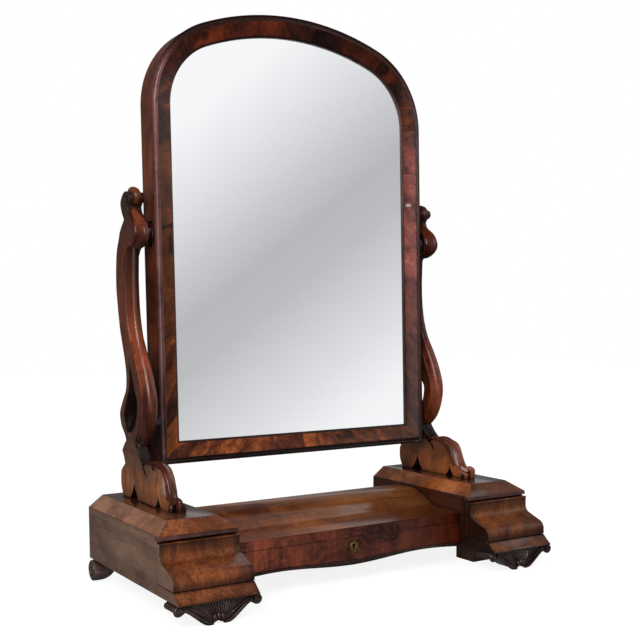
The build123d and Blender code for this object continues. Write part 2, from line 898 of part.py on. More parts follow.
def scroll_base():
    # the collar under the S, and the long toe that lies on the box top
    toe = base_points(
        [(-1.0, 0.15), (-0.91, 0.14), (-0.81, 0.183), (-0.738, 0.339), (-0.69, 0.498)]
        + [(-0.643, 0.617), (-0.572, 0.678), (-0.483, 0.683), (-0.41, 0.66), (-0.345, 0.62)]
    )
    collar = base_points(
        [(-0.26, 0.66), (-0.19, 0.78), (-0.1, 0.97), (0, 1.111), (0.152, 1.111)]
        + [(0.2, 1.04), (0.276, 0.911), (0.334, 0.833)]
    )
    heel_notch = base_points([(0.334, 0.833), (0.29, 0.711), (0.255, 0.611)])
    heel = base_points([(0.255, 0.611), (0.352, 0.489), (0.386, 0.3), (0.372, 0.156), (0.324, 0)])
    floor = base_points([(0.324, 0), (-1.0, 0)])
    crest = base_points(
        [(-1.05, 0.1), (-1.0, 0.21), (-0.9, 0.26), (-0.83, 0.36), (-0.77, 0.52)]
        + [(-0.7, 0.67), (-0.61, 0.745), (-0.51, 0.755), (-0.42, 0.71), (-0.32, 0.66)]
    )
    body = outline(
        Spline(*toe),
        Line(toe[-1], collar[0]),
        Spline(*collar),
        Spline(*heel_notch),
        Spline(*heel),
        Line(*floor),
        Line(floor[-1], toe[0]),
    )
    small = base_points([(-0.738, 0), (-0.586, 0)])
    large = base_points([(-0.117, 0), (0.11, 0)])
    holes = pointed_arch(small[0][0], small[1][0], small_arch_height)
    holes += pointed_arch(large[0][0], large[1][0], large_arch_height)
    nosing = roll(crest, Polyline(crest[-1], (crest[-1][0], lid_z), (crest[0][0], lid_z), crest[0]))
    return upright_layer(body, upright_thickness) + nosing - upright_layer(holes, upright_thickness)


def upright_screws():
    # driven up through the box top, their heads sunk in its underside
    x = (upright_inner_x + upright_outer_x) / 2
    screws = []
    holes = Part()
    for side in (-1, 1):
        for y in (pivot_y - upright_screw_front, pivot_y + upright_screw_back):
            end_z = side_top_z + upright_screw_length
            shank = rod_z(upright_screw_radius, side_top_z, end_z, side * x, y)
            head = rod_z(upright_screw_head, side_top_z, side_top_z + screw_head_height, side * x, y)
            screws.append(shank + head)
            holes += rod_z(upright_screw_radius + screw_fit, side_top_z, end_z, side * x, y)
            holes += rod_z(
                upright_screw_head + screw_fit, side_top_z, side_top_z + screw_head_height, side * x, y
            )
    return screws, holes


def pivot_boss():
    # turned, with a waist between two beads, and bored for the stud
    length = pivot_gap - boss_clearance
    section = outline(
        Polyline((0, boss_bore), (0, boss_radius)),
        ThreePointArc((0, boss_radius), (length / 2, boss_waist), (length, boss_radius)),
        Polyline((length, boss_radius), (length, boss_bore), (0, boss_bore)),
    )
    turned = revolve(Plane.XY * section, Axis.X)
    return Pos(upright_inner_x - length, pivot_y, pivot_z) * turned


def pivot_socket():
    end_x = upright_inner_x + socket_length
    bush = rod_x(socket_radius, upright_inner_x, end_x, pivot_y, pivot_z)
    return bush - rod_x(stud_radius + stud_clearance, upright_inner_x, end_x, pivot_y, pivot_z)


def upright():
    body = scroll_shaft() + scroll_head() + scroll_base()
    return body - rod_x(socket_radius, upright_inner_x, upright_inner_x + socket_length, pivot_y, pivot_z)


# The whole object

def stand():
    screws, holes = upright_screws()
    right_side = drawer_box()
    right_side["front_foot"] = front_foot()
    right_side["rear_foot"] = rear_foot()
    right_side["foot_block"] = foot_block()
    right_side["upright"] = upright() - holes
    right_side["box_top"] -= holes
    right_side["pivot_boss"] = pivot_boss()
    right_side["pivot_socket"] = pivot_socket()
    for name, piece in right_side.items():
        pieces["right_" + name] = piece
        pieces["left_" + name] = mirror(piece, about=Plane.YZ)
    pieces["upright_screws"] = Compound([screw.solid() for screw in screws])


stand()
platform()
centre_drawer()
swing_mirror()

for name, piece in pieces.items():
    solids = piece.solids()
    export_step(solids[0] if len(solids) == 1 else piece, f"parts/{name}.step")
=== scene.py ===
import json
import math

import bmesh
import bpy
import numpy as np
from mathutils import Matrix, Vector
from mathutils.geometry import tessellate_polygon

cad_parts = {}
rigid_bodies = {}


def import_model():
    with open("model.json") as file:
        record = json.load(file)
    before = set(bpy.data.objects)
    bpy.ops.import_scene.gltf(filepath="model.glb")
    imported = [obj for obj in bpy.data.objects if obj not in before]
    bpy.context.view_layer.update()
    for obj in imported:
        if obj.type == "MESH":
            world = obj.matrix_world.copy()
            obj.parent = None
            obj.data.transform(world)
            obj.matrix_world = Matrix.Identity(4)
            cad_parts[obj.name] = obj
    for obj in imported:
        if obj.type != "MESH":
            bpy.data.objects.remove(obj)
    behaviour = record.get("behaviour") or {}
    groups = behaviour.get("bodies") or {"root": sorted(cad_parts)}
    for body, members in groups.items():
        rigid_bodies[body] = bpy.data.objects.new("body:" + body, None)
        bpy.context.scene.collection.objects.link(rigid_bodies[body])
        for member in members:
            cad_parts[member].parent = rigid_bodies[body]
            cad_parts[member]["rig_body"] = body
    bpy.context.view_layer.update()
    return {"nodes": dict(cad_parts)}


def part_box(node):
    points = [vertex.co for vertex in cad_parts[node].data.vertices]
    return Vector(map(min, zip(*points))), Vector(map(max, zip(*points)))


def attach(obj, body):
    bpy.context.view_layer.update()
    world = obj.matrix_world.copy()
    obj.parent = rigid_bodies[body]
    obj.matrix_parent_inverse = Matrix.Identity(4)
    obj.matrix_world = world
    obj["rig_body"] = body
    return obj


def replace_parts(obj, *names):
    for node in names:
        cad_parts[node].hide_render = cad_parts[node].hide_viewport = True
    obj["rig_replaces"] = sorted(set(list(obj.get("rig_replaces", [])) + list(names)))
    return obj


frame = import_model()
nodes = frame["nodes"]
scene = bpy.context.scene
print("frame loaded:", len(nodes), "nodes")


# Shader helpers
# shading["tree"] is the node tree that new nodes and links go into
shading = {}


def feed(sockets, values):
    # links sockets or sets their values, by name or number; three numbers will do for a colour
    for key, value in values.items():
        socket = sockets[key]
        if isinstance(value, bpy.types.NodeSocket):
            shading["tree"].links.new(value, socket)
        elif socket.type == "RGBA" and len(value) == 3:
            socket.default_value = (*value, 1)
        else:
            socket.default_value = value


def addNode(kind, inputs=None, **properties):
    # a node with its properties set and its inputs fed
    node = shading["tree"].nodes.new("ShaderNode" + kind)
    for name, value in properties.items():
        setattr(node, name, value)
    feed(node.inputs, inputs or {})
    return node


def newGroup(name, inputs, outputs):
    # an empty group, whose sockets are floats but for the vector and the colours
    kinds = {"Vector": "Vector", "Color": "Color", "Light": "Color", "Dark": "Color"}
    tree = shading["tree"] = bpy.data.node_groups.new(name, "ShaderNodeTree")
    for side, titles in (("INPUT", inputs), ("OUTPUT", outputs)):
        for title in titles.split():
            kind = "NodeSocket" + kinds.get(title, "Float")
            tree.interface.new_socket(title, in_out=side, socket_type=kind)
    return tree, tree.nodes.new("NodeGroupInput").outputs, tree.nodes.new("NodeGroupOutput").inputs


def placed(group, **values):
    # the outputs of a group's node
    return addNode("Group", values, node_tree=group).outputs


def grey(value):
    return (value, value, value)


def ramp(link, *stops):
    # a colour ramp fed by a link; each stop is a place and a grey or a colour
    node = addNode("ValToRGB", {"Fac": link})
    elements = node.color_ramp.elements
    while len(elements) < len(stops):
        elements.new(0.5)
    for element, (place, colour) in zip(elements, stops):
        element.position = place
        element.color = (*(colour if isinstance(colour, tuple) else grey(colour)), 1)
    return node.outputs["Color"]


def mixColour(fac, a, b, mode="MIX"):
    node = addNode("Mix", {0: fac, 6: a, 7: b}, data_type="RGBA", blend_type=mode, clamp_result=True)
    return node.outputs[2]


def maths(operation, a, b=0.0, clamp=False):
    return addNode("Math", {0: a, 1: b}, operation=operation, use_clamp=clamp).outputs[0]


def times(a, b, clamp=False):
    return maths("MULTIPLY", a, b, clamp)


def plus(a, b, clamp=False):
    return maths("ADD", a, b, clamp)


def less(a, b):
    return maths("SUBTRACT", a, b)


def vectors(operation, a, b):
    node = addNode("VectorMath", {0: a, 1: b}, operation=operation)
    return node.outputs["Value" if operation in ("DOT_PRODUCT", "DISTANCE") else "Vector"]


def scaled(vector, factor):
    return addNode("VectorMath", {0: vector, "Scale": factor}, operation="SCALE").outputs[0]


def stretched(vector, factors):
    return vectors("MULTIPLY", vector, factors)


def noise(vector, scale, detail=4.0, roughness=0.55, distortion=0.0):
    return addNode("TexNoise", {"Vector": vector, "Scale": scale, "Detail": detail, "Roughness": roughness,
                                "Distortion": distortion}).outputs["Fac"]


def coordinate(vector, axis):
    # one of a vector's three numbers
    return addNode("SeparateXYZ", {0: vector}).outputs[axis]


# Effects shared by the woods
def makeGrain():
    # grain lines and pores that run along the vector's Z
    tree, start, end = newGroup("woodGrain", "Vector Light Dark Fine Speckle", "Color Height")
    vector, dark = start["Vector"], start["Dark"]
    broad = noise(stretched(vector, (1, 1, 0.12)), 34, 5, 0.6, 0.6)
    fine = noise(stretched(vector, (1, 1, 0.035)), 260, 3, 0.6)
    pores = noise(stretched(vector, (1, 1, 0.05)), 900, 2, 0.5)
    lines = ramp(fine, (0.40, 0), (0.60, 1))
    streak = mixColour(start["Fine"], ramp(broad, (0.38, 0), (0.62, 1)), lines)
    colour = mixColour(streak, dark, start["Light"])
    pitted = times(ramp(pores, (0.33, 1), (0.43, 0)), 0.5, True)
    colour = mixColour(pitted, colour, mixColour(0.75, colour, dark, "MULTIPLY"))
    fleck = noise(stretched(vector, (1, 1, 0.5)), 420, 3, 0.7)
    fleck = mixColour(1.0, colour, ramp(fleck, (0.36, 0.25), (0.5, 0.8), (0.64, 1)), "MULTIPLY")
    feed(end, {"Color": mixColour(start["Speckle"], colour, fleck),
               "Height": less(times(fine, 0.35), times(pitted, 0.6))})
    return tree


def makeFigure():
    # the plume of crotch veneer: soft bands bent about the vector's Z, and pale patches
    tree, start, end = newGroup("flameFigure", "Vector Scale Bend Plume", "Bands Patches")
    vector = scaled(start["Vector"], start["Scale"])
    warp = addNode("TexNoise", {"Vector": vector, "Scale": 7, "Detail": 3}).outputs["Color"]
    moved = vectors("ADD", vector, scaled(warp, times(start["Bend"], 0.25)))
    ripple = {"Vector": moved, "Scale": 14, "Distortion": 6, "Detail": 3, "Detail Scale": 2}
    wave = addNode("TexWave", ripple, bands_direction="Z").outputs["Fac"]
    soft = noise(stretched(moved, (1, 1, 0.6)), 11, 4, 0.6, 0.8)
    blotch = noise(stretched(moved, (1, 1, 0.7)), 5, 4, 0.55, 0.4)
    bands = times(times(less(wave, 0.5), start["Plume"]), 0.6)
    feed(end, {"Bands": plus(bands, ramp(soft, (0.36, 0.12), (0.64, 0.88)), True),
               "Patches": ramp(blotch, (0.44, 0), (0.62, 1))})
    return tree


def makeAge():
    # years of hands and dust: darker soiling in patches, and fine marks in the polish
    tree, start, end = newGroup("ageMarks", "Vector Color Soil Gloss", "Color Roughness Height")
    vector = start["Vector"]
    cloud = noise(vector, 13, 5, 0.65)
    soil = times(ramp(cloud, (0.34, 1), (0.62, 0)), start["Soil"], True)
    marks = noise(stretched(vector, (1, 0.2, 1)), 420, 3, 0.7)
    rough = plus(start["Gloss"], times(cloud, 0.14))
    feed(end, {"Color": mixColour(soil, start["Color"], (0.40, 0.33, 0.30), "MULTIPLY"),
               "Roughness": plus(rough, times(marks, 0.05), True),
               "Height": plus(noise(vector, 60, 2), times(marks, 0.15))})
    return tree


def makeEdges():
    # darkens the colour on arrises, where the rounded normal leaves the true one, and paints shade into
    # corners and creases, where little light gets in
    tree, start, end = newGroup("edgeShade", "Color Edge Corner", "Color")
    rounded = addNode("Bevel", {"Radius": 0.0022}, samples=4).outputs["Normal"]
    true = addNode("NewGeometry").outputs["Normal"]
    bend = times(less(1.0, vectors("DOT_PRODUCT", rounded, true)), 8.0, True)
    # painted shade: the occlusion darkens the colour in corners and creases
    light = addNode("AmbientOcclusion", {"Distance": 0.012}, samples=6, only_local=False).outputs["AO"]
    corner = times(ramp(light, (0.25, 1), (0.85, 0)), start["Corner"], True)
    mask = maths("MAXIMUM", times(bend, start["Edge"], True), corner, True)
    feed(end, {"Color": mixColour(mask, start["Color"], (0.16, 0.11, 0.10), "MULTIPLY")})
    return tree


grainGroup = makeGrain()
figureGroup = makeFigure()
ageGroup = makeAge()
edgeGroup = makeEdges()


def newMaterial(name):
    material = bpy.data.materials.new(name)
    material.use_nodes = True
    shading["tree"] = material.node_tree
    return material, material.node_tree.nodes["Principled BSDF"].inputs


def bumped(height, strength, distance):
    # the normal raised and lowered by a height
    return addNode("Bump", {"Strength": strength, "Distance": distance, "Height": height}).outputs["Normal"]


def zoned(vector, colour, zones):
    # lighter and darker belts at right angles to an axis, most of them painted light and shade: places in
    # metres, and the share or tint there
    axis, stops = zones
    low, high = stops[0][0], stops[-1][0]
    share = maths("DIVIDE", less(coordinate(vector, axis), low), high - low, True)
    level = ramp(share, *(((at - low) / (high - low), tint) for at, tint in stops))
    return mixColour(1.0, colour, level, "MULTIPLY")


def leafed(vector, number):
    # veneer laid in leaves: the whole number of leaves passed along X shifts the pattern, and a line marks
    # each joint
    passed = times(coordinate(vector, "X"), number)
    leaf = maths("FLOOR", passed)
    shift = addNode("CombineXYZ", {"Y": times(leaf, 0.613), "Z": times(leaf, 0.171)}).outputs[0]
    return vectors("ADD", vector, shift), ramp(maths("FRACT", passed), (0.0, 0.45), (0.015, 1))


def chipped(vector, colour, place):
    # a knock in the veneer: a thin dark joint at its height, and a small pale break with a ragged edge
    height = maths("ABSOLUTE", less(coordinate(vector, "Z"), place[2]))
    line, flat = maths("LESS_THAN", height, 0.001), 0.4
    centre = (place[0] * flat, place[1], place[2])
    reach = vectors("DISTANCE", stretched(vector, (flat, 1, 1)), centre)
    ragged = plus(reach, times(noise(vector, 700, 3), 0.004))
    spot = ramp(times(ragged, 100.0), (0.38, 1), (0.52, 0))
    colour = mixColour(times(line, 0.6), colour, (0.02, 0.01, 0.01))
    return mixColour(times(spot, 0.75), colour, (0.55, 0.47, 0.45))


# the turns that lay the grain along X, Y or Z, and what a wood has where it states nothing else
acrossX, alongY, upright = (0, 90, 0), (90, 0, 0), (0, 0, 0)
# corner sets the painted shade that each wood gets in its corners, edge how dark its arrises turn
plainLook = dict(turn=acrossX, shift=(0, 0, 0), scale=1.0, bend=0.8, plume=0.3, patches=0.5, depth=0.75,
                 fine=0.4, speckle=0.25, edge=0.7, corner=0.7, soil=0.3, gloss=0.2, polish=0.5,
                 polishRough=0.1, shine=0.3, zones=())


def woodMaterial(name, look):
    # polished wood, whose grain runs along the Z of the mapped object coordinates
    look = {**plainLook, **look}
    material, shader = newMaterial(name)
    place = addNode("TexCoord").outputs["Object"]
    along = place
    if "follows" in look:
        along = addNode("Attribute", attribute_name=look["follows"]).outputs["Vector"]
    turn = [math.radians(angle) for angle in look["turn"]]
    vector = addNode("Mapping", {"Vector": along, "Location": look["shift"], "Rotation": turn}).outputs[0]
    joint = None
    if "leaves" in look:
        vector, joint = leafed(vector, look["leaves"])
    figure = placed(figureGroup, Vector=vector, Scale=look["scale"], Bend=look["bend"], Plume=look["plume"])
    base = mixColour(figure["Bands"], look["dark"], look["light"])
    base = mixColour(times(figure["Patches"], look["patches"], True), base, look["patch"])
    deep = mixColour(look["depth"], base, (0.30, 0.22, 0.18), "MULTIPLY")
    grain = placed(grainGroup, Vector=vector, Light=base, Dark=deep, Fine=look["fine"],
                   Speckle=look["speckle"])
    colour = grain["Color"]
    if joint:
        colour = mixColour(1.0, colour, joint, "MULTIPLY")
    # the belts of each wood, mostly painted light and shade
    for zones in look["zones"]:
        colour = zoned(place, colour, zones)
    if "chip" in look:
        colour = chipped(place, colour, look["chip"])
    # painted shade in the corners, and darker arrises
    shade = placed(edgeGroup, Color=colour, Edge=look["edge"], Corner=look["corner"])
    age = placed(ageGroup, Vector=vector, Color=shade["Color"], Soil=look["soil"], Gloss=look["gloss"])
    height = plus(times(grain["Height"], 0.5), times(age["Height"], 0.8))
    feed(shader, {"Base Color": age["Color"], "Roughness": age["Roughness"],
                  "Normal": bumped(height, 0.12, 0.0006), "Coat Weight": look["polish"],
                  "Coat Roughness": look["polishRough"], "Specular IOR Level": look["shine"]})
    return material


def standIn(name, mesh, node, material):
    # a piece that rides on its node's body and stands for the node
    mesh.materials.append(material)
    piece = bpy.data.objects.new(name, mesh)
    scene.collection.objects.link(piece)
    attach(piece, nodes[node]["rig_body"])
    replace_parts(piece, node)
    return piece


def softened(node, material, width):
    # a copy of a CAD node with its loose triangles joined, its flat areas dissolved and its arrises rounded
    mesh = nodes[node].data.copy()
    mesh.name = node + "Finished"
    mesh.materials.clear()
    work = bmesh.new()
    work.from_mesh(mesh)
    bmesh.ops.remove_doubles(work, verts=work.verts, dist=2e-6)
    bmesh.ops.dissolve_limit(work, angle_limit=math.radians(0.6), verts=work.verts, edges=work.edges,
                             use_dissolve_boundaries=False)
    work.to_mesh(mesh)
    work.free()
    mesh.polygons.foreach_set("use_smooth", np.ones(len(mesh.polygons), bool))
    bevel = standIn(mesh.name, mesh, node, material).modifiers.new("arris", "BEVEL")
    bevel.width, bevel.segments = width, 2
    bevel.limit_method, bevel.angle_limit = "ANGLE", math.radians(30)
    bevel.harden_normals = bevel.use_clamp_overlap = True


def outward(mesh):
    # turns every closed shell's faces to point outwards, and keeps sharp edges sharp
    work = bmesh.new()
    work.from_mesh(mesh)
    bmesh.ops.recalc_face_normals(work, faces=work.faces)
    for edge in work.edges:
        edge.smooth = not (len(edge.link_faces) == 2 and edge.calc_face_angle(0) > math.radians(42))
    work.to_mesh(mesh)
    work.free()


def carve(name, shape, node, material, mirrored=False):
    # makes the piece of a shape in millimetres, and lets it stand for its node
    points, faces, flats = shape
    mesh = bpy.data.meshes.new(name)
    mesh.from_pydata((points * [-0.001 if mirrored else 0.001, 0.001, 0.001]).tolist(), [], faces + flats)
    mesh.polygons.foreach_set("use_smooth", np.arange(len(faces) + len(flats)) < len(faces))
    outward(mesh)
    return standIn(name, mesh, node, material)


def carvePair(title, shape, node, finish):
    # the shape on the right and, mirrored, on the left
    return [carve(side + title, shape, side + "_" + node, wood[finish], side == "left")
            for side in ("left", "right")]


def facing(piece, test, *materials):
    # adds materials, and gives each face the number that the test makes of its normal
    mesh = piece.data
    for material in materials:
        mesh.materials.append(material)
    normal = np.zeros(len(mesh.polygons) * 3)
    mesh.polygons.foreach_get("normal", normal)
    mesh.polygons.foreach_set("material_index", test(*normal.reshape(-1, 3).T).astype(np.int32))


def arc(centre, radius, start, end, count=14):
    # centre plus radius times the cosine and sine of an angle, in degrees
    t = np.radians(np.linspace(start, end, count))
    return np.stack([centre[0] + radius * np.cos(t), centre[1] + radius * np.sin(t)], -1)


def spaced(line, count):
    # the line sampled at equal steps of its length
    run = np.concatenate([[0], np.cumsum(np.linalg.norm(np.diff(line, axis=0), axis=1))])
    at = np.linspace(0, run[-1], count)
    return np.stack([np.interp(at, run, part) for part in np.transpose(line)], -1)


def smooth(points, count):
    # a centripetal spline through the points, evenly spaced along its length
    p = np.asarray(points, float)
    p = np.vstack([2 * p[0] - p[1], p, 2 * p[-1] - p[-2]])
    knot = np.concatenate([[0], np.cumsum(np.sqrt(np.linalg.norm(np.diff(p, axis=0), axis=1)))])
    t = np.linspace(knot[1], knot[-2] - 1e-9, 12 * len(p))
    i = np.clip(np.searchsorted(knot, t, side="right") - 1, 1, len(p) - 3)

    def blend(a, b, first, last):
        low, high = knot[i + first], knot[i + last]
        share = ((t - low) / (high - low))[:, None]
        return a * (1 - share) + b * share

    a, b, c = (blend(p[i + k], p[i + k + 1], k, k + 1) for k in (-1, 0, 1))
    return spaced(blend(blend(a, b, -1, 1), blend(b, c, 0, 2), 0, 1), count)


def joined(*lines):
    # lines end to end, without doubled points
    line = np.vstack([np.asarray(part, float).reshape(-1, 2) for part in lines])
    return line[np.linalg.norm(line - np.roll(line, 1, axis=0), axis=1) > 1e-4]


def normalsOf(line, closed=False):
    # unit normals to the left of a 2-D line
    way = np.gradient(line, axis=0)
    if closed:
        ahead = np.roll(line, -1, axis=0) - line
        ahead /= np.linalg.norm(ahead, axis=1)[:, None]
        way = ahead + np.roll(ahead, 1, axis=0)
    way /= np.maximum(np.linalg.norm(way, axis=1), 1e-9)[:, None]
    return np.stack([-way[:, 1], way[:, 0]], -1)


def placeIn(plane, flat, height):
    # flat 2-D points and a height across them, in the plane named by its two axes
    parts = [flat[..., 0], flat[..., 1]]
    parts.insert({"yz": 0, "xz": 1}[plane], np.broadcast_to(height, flat.shape[:-1]))
    return np.stack(parts, -1)


def ringFaces(rows, columns, start=0):
    # quads between the neighbours of a grid whose rows are closed rings
    a = np.arange((rows - 1) * columns).reshape(-1, columns) + start
    b = np.roll(a, -1, axis=1)
    return np.stack([a, b, b + columns, a + columns], axis=-1).reshape(-1, 4).tolist()


def skin(grid, flatEnds=False):
    # a row of closed rings as points and faces, with one more face over each end
    rows, columns = grid.shape[:2]
    faces = ringFaces(rows, columns)
    ends = [list(range(columns))[::-1], list(range((rows - 1) * columns, rows * columns))]
    return (grid.reshape(-1, 3), faces, ends) if flatEnds else (grid.reshape(-1, 3), faces + ends, [])


def plate(plane, loops, low, high, arris, segments=3):
    # A board cut to an outline, with holes. Its wall is a quarter round at each end: the inset is the arris
    # times one minus sine, the height the arris times one minus cosine, as the angle goes round.
    turn = np.linspace(0, np.pi / 2, segments + 1)
    sines, cosines = arris * (1 - np.sin(turn)), arris * (1 - np.cos(turn))
    inset = np.concatenate([sines, cosines])
    height = np.concatenate([low + cosines, high - sines])
    points, faces, rings, start = [], [], [], 0
    for index, loop in enumerate(loops):
        x, y = loop[:, 0], loop[:, 1]
        leftward = np.sum(x * np.roll(y, -1) - y * np.roll(x, -1)) > 0
        if leftward != (index == 0):
            loop = loop[::-1]
        ring = loop[None] + inset[:, None, None] * normalsOf(loop, closed=True)[None]
        points.append(placeIn(plane, ring, height[:, None]).reshape(-1, 3))
        faces += ringFaces(len(inset), len(loop), start)
        rings.append((ring, start + np.arange(ring.shape[0] * len(loop)).reshape(ring.shape[0], -1)))
        start += ring.shape[0] * len(loop)
    flats = []
    for end, way in ((0, 1), (-1, -1)):
        order = np.concatenate([number[end] for ring, number in rings])
        triangles = tessellate_polygon([[Vector((*p, 0)) for p in ring[end]] for ring, number in rings])
        flats += [[int(order[i]) for i in triangle[::way]] for triangle in triangles]
    return np.vstack(points), faces, flats


def alongLine(value, s):
    # one value, or a list of values spread evenly along the line
    return np.interp(s, np.linspace(0, 1, len(value)), value) if isinstance(value, list) else value


def roll(line, centre, half, section, deep):
    # A moulding along a line of y and z that marks its crest. Across it, t runs from -1 to 1: the point lies
    # half times t to the side and section(t, s) behind the crest, where s is the share of the way along; its
    # back is closed at the depth given.
    count = len(line)
    t = -np.cos(np.linspace(0, np.pi, 49))
    s = np.linspace(0, 1, count)[:, None]
    half = np.broadcast_to(np.ravel(alongLine(half, s)), count)
    back = alongLine(deep, s) + 0 * s
    depth = np.hstack([np.broadcast_to(section(t[None], s), (count, len(t))), back, back])
    flat = line[:, None] - normalsOf(line)[:, None] * depth[..., None]
    return skin(placeIn("yz", flat, centre + half[:, None] * np.append(t, [1.0, -1.0])[None]))


def halfRound(rise):
    # the rise times one minus the root of one minus t squared
    return lambda t, s: rise * (1 - np.sqrt(np.clip(1 - t**2, 0, 1)))


def ridged(share, bulge, fall):
    # a round ridge over the middle share of the width, then a hollow on each side that falls by the sine of
    # a quarter turn to the edge
    def section(t, s):
        r, d, f = (alongLine(value, s) for value in (share, bulge, fall))
        away = np.abs(t)
        ridge = halfRound(d)(t / r, s)
        hollow = d + (f - d) * np.sin(np.pi / 2 * np.clip((away - r) / (1 - r), 0, 1))
        return np.where(away < r, ridge, hollow)
    return section


def tube(path, radius, sides):
    # a round bar along a 3-D path, tapered by its radii, with closed ends
    way = np.gradient(path, axis=0)
    way /= np.linalg.norm(way, axis=1)[:, None]
    first = np.cross(way, [0.02, 1.0, 0.03] if abs(way[0, 1]) < 0.9 else [1.0, 0.02, 0.03])
    first /= np.linalg.norm(first, axis=1)[:, None]
    t = np.linspace(0, 2 * np.pi, sides, endpoint=False)[None, :, None]
    ring = np.cos(t) * first[:, None] + np.sin(t) * np.cross(way, first)[:, None]
    return skin(path[:, None] + radius[:, None, None] * ring)


def turned(profile, centre, sides):
    # a profile of (along X, radius) turned about a line along X through the centre
    x, radius = np.array(profile, float).T[..., None]
    t = np.linspace(0, 2 * np.pi, sides, endpoint=False)
    return skin(np.stack([x + 0 * t, radius * np.cos(t), radius * np.sin(t)], -1) + centre)


def gathered(*shapes):
    # several shapes as one set of points, smooth faces and flat faces
    points, faces, flats, start = [], [], [], 0
    for places, *groups in shapes:
        points.append(places)
        for kept, group in zip((faces, flats), groups):
            kept.extend([i + start for i in face] for face in group)
        start += len(places)
    return np.vstack(points), faces, flats


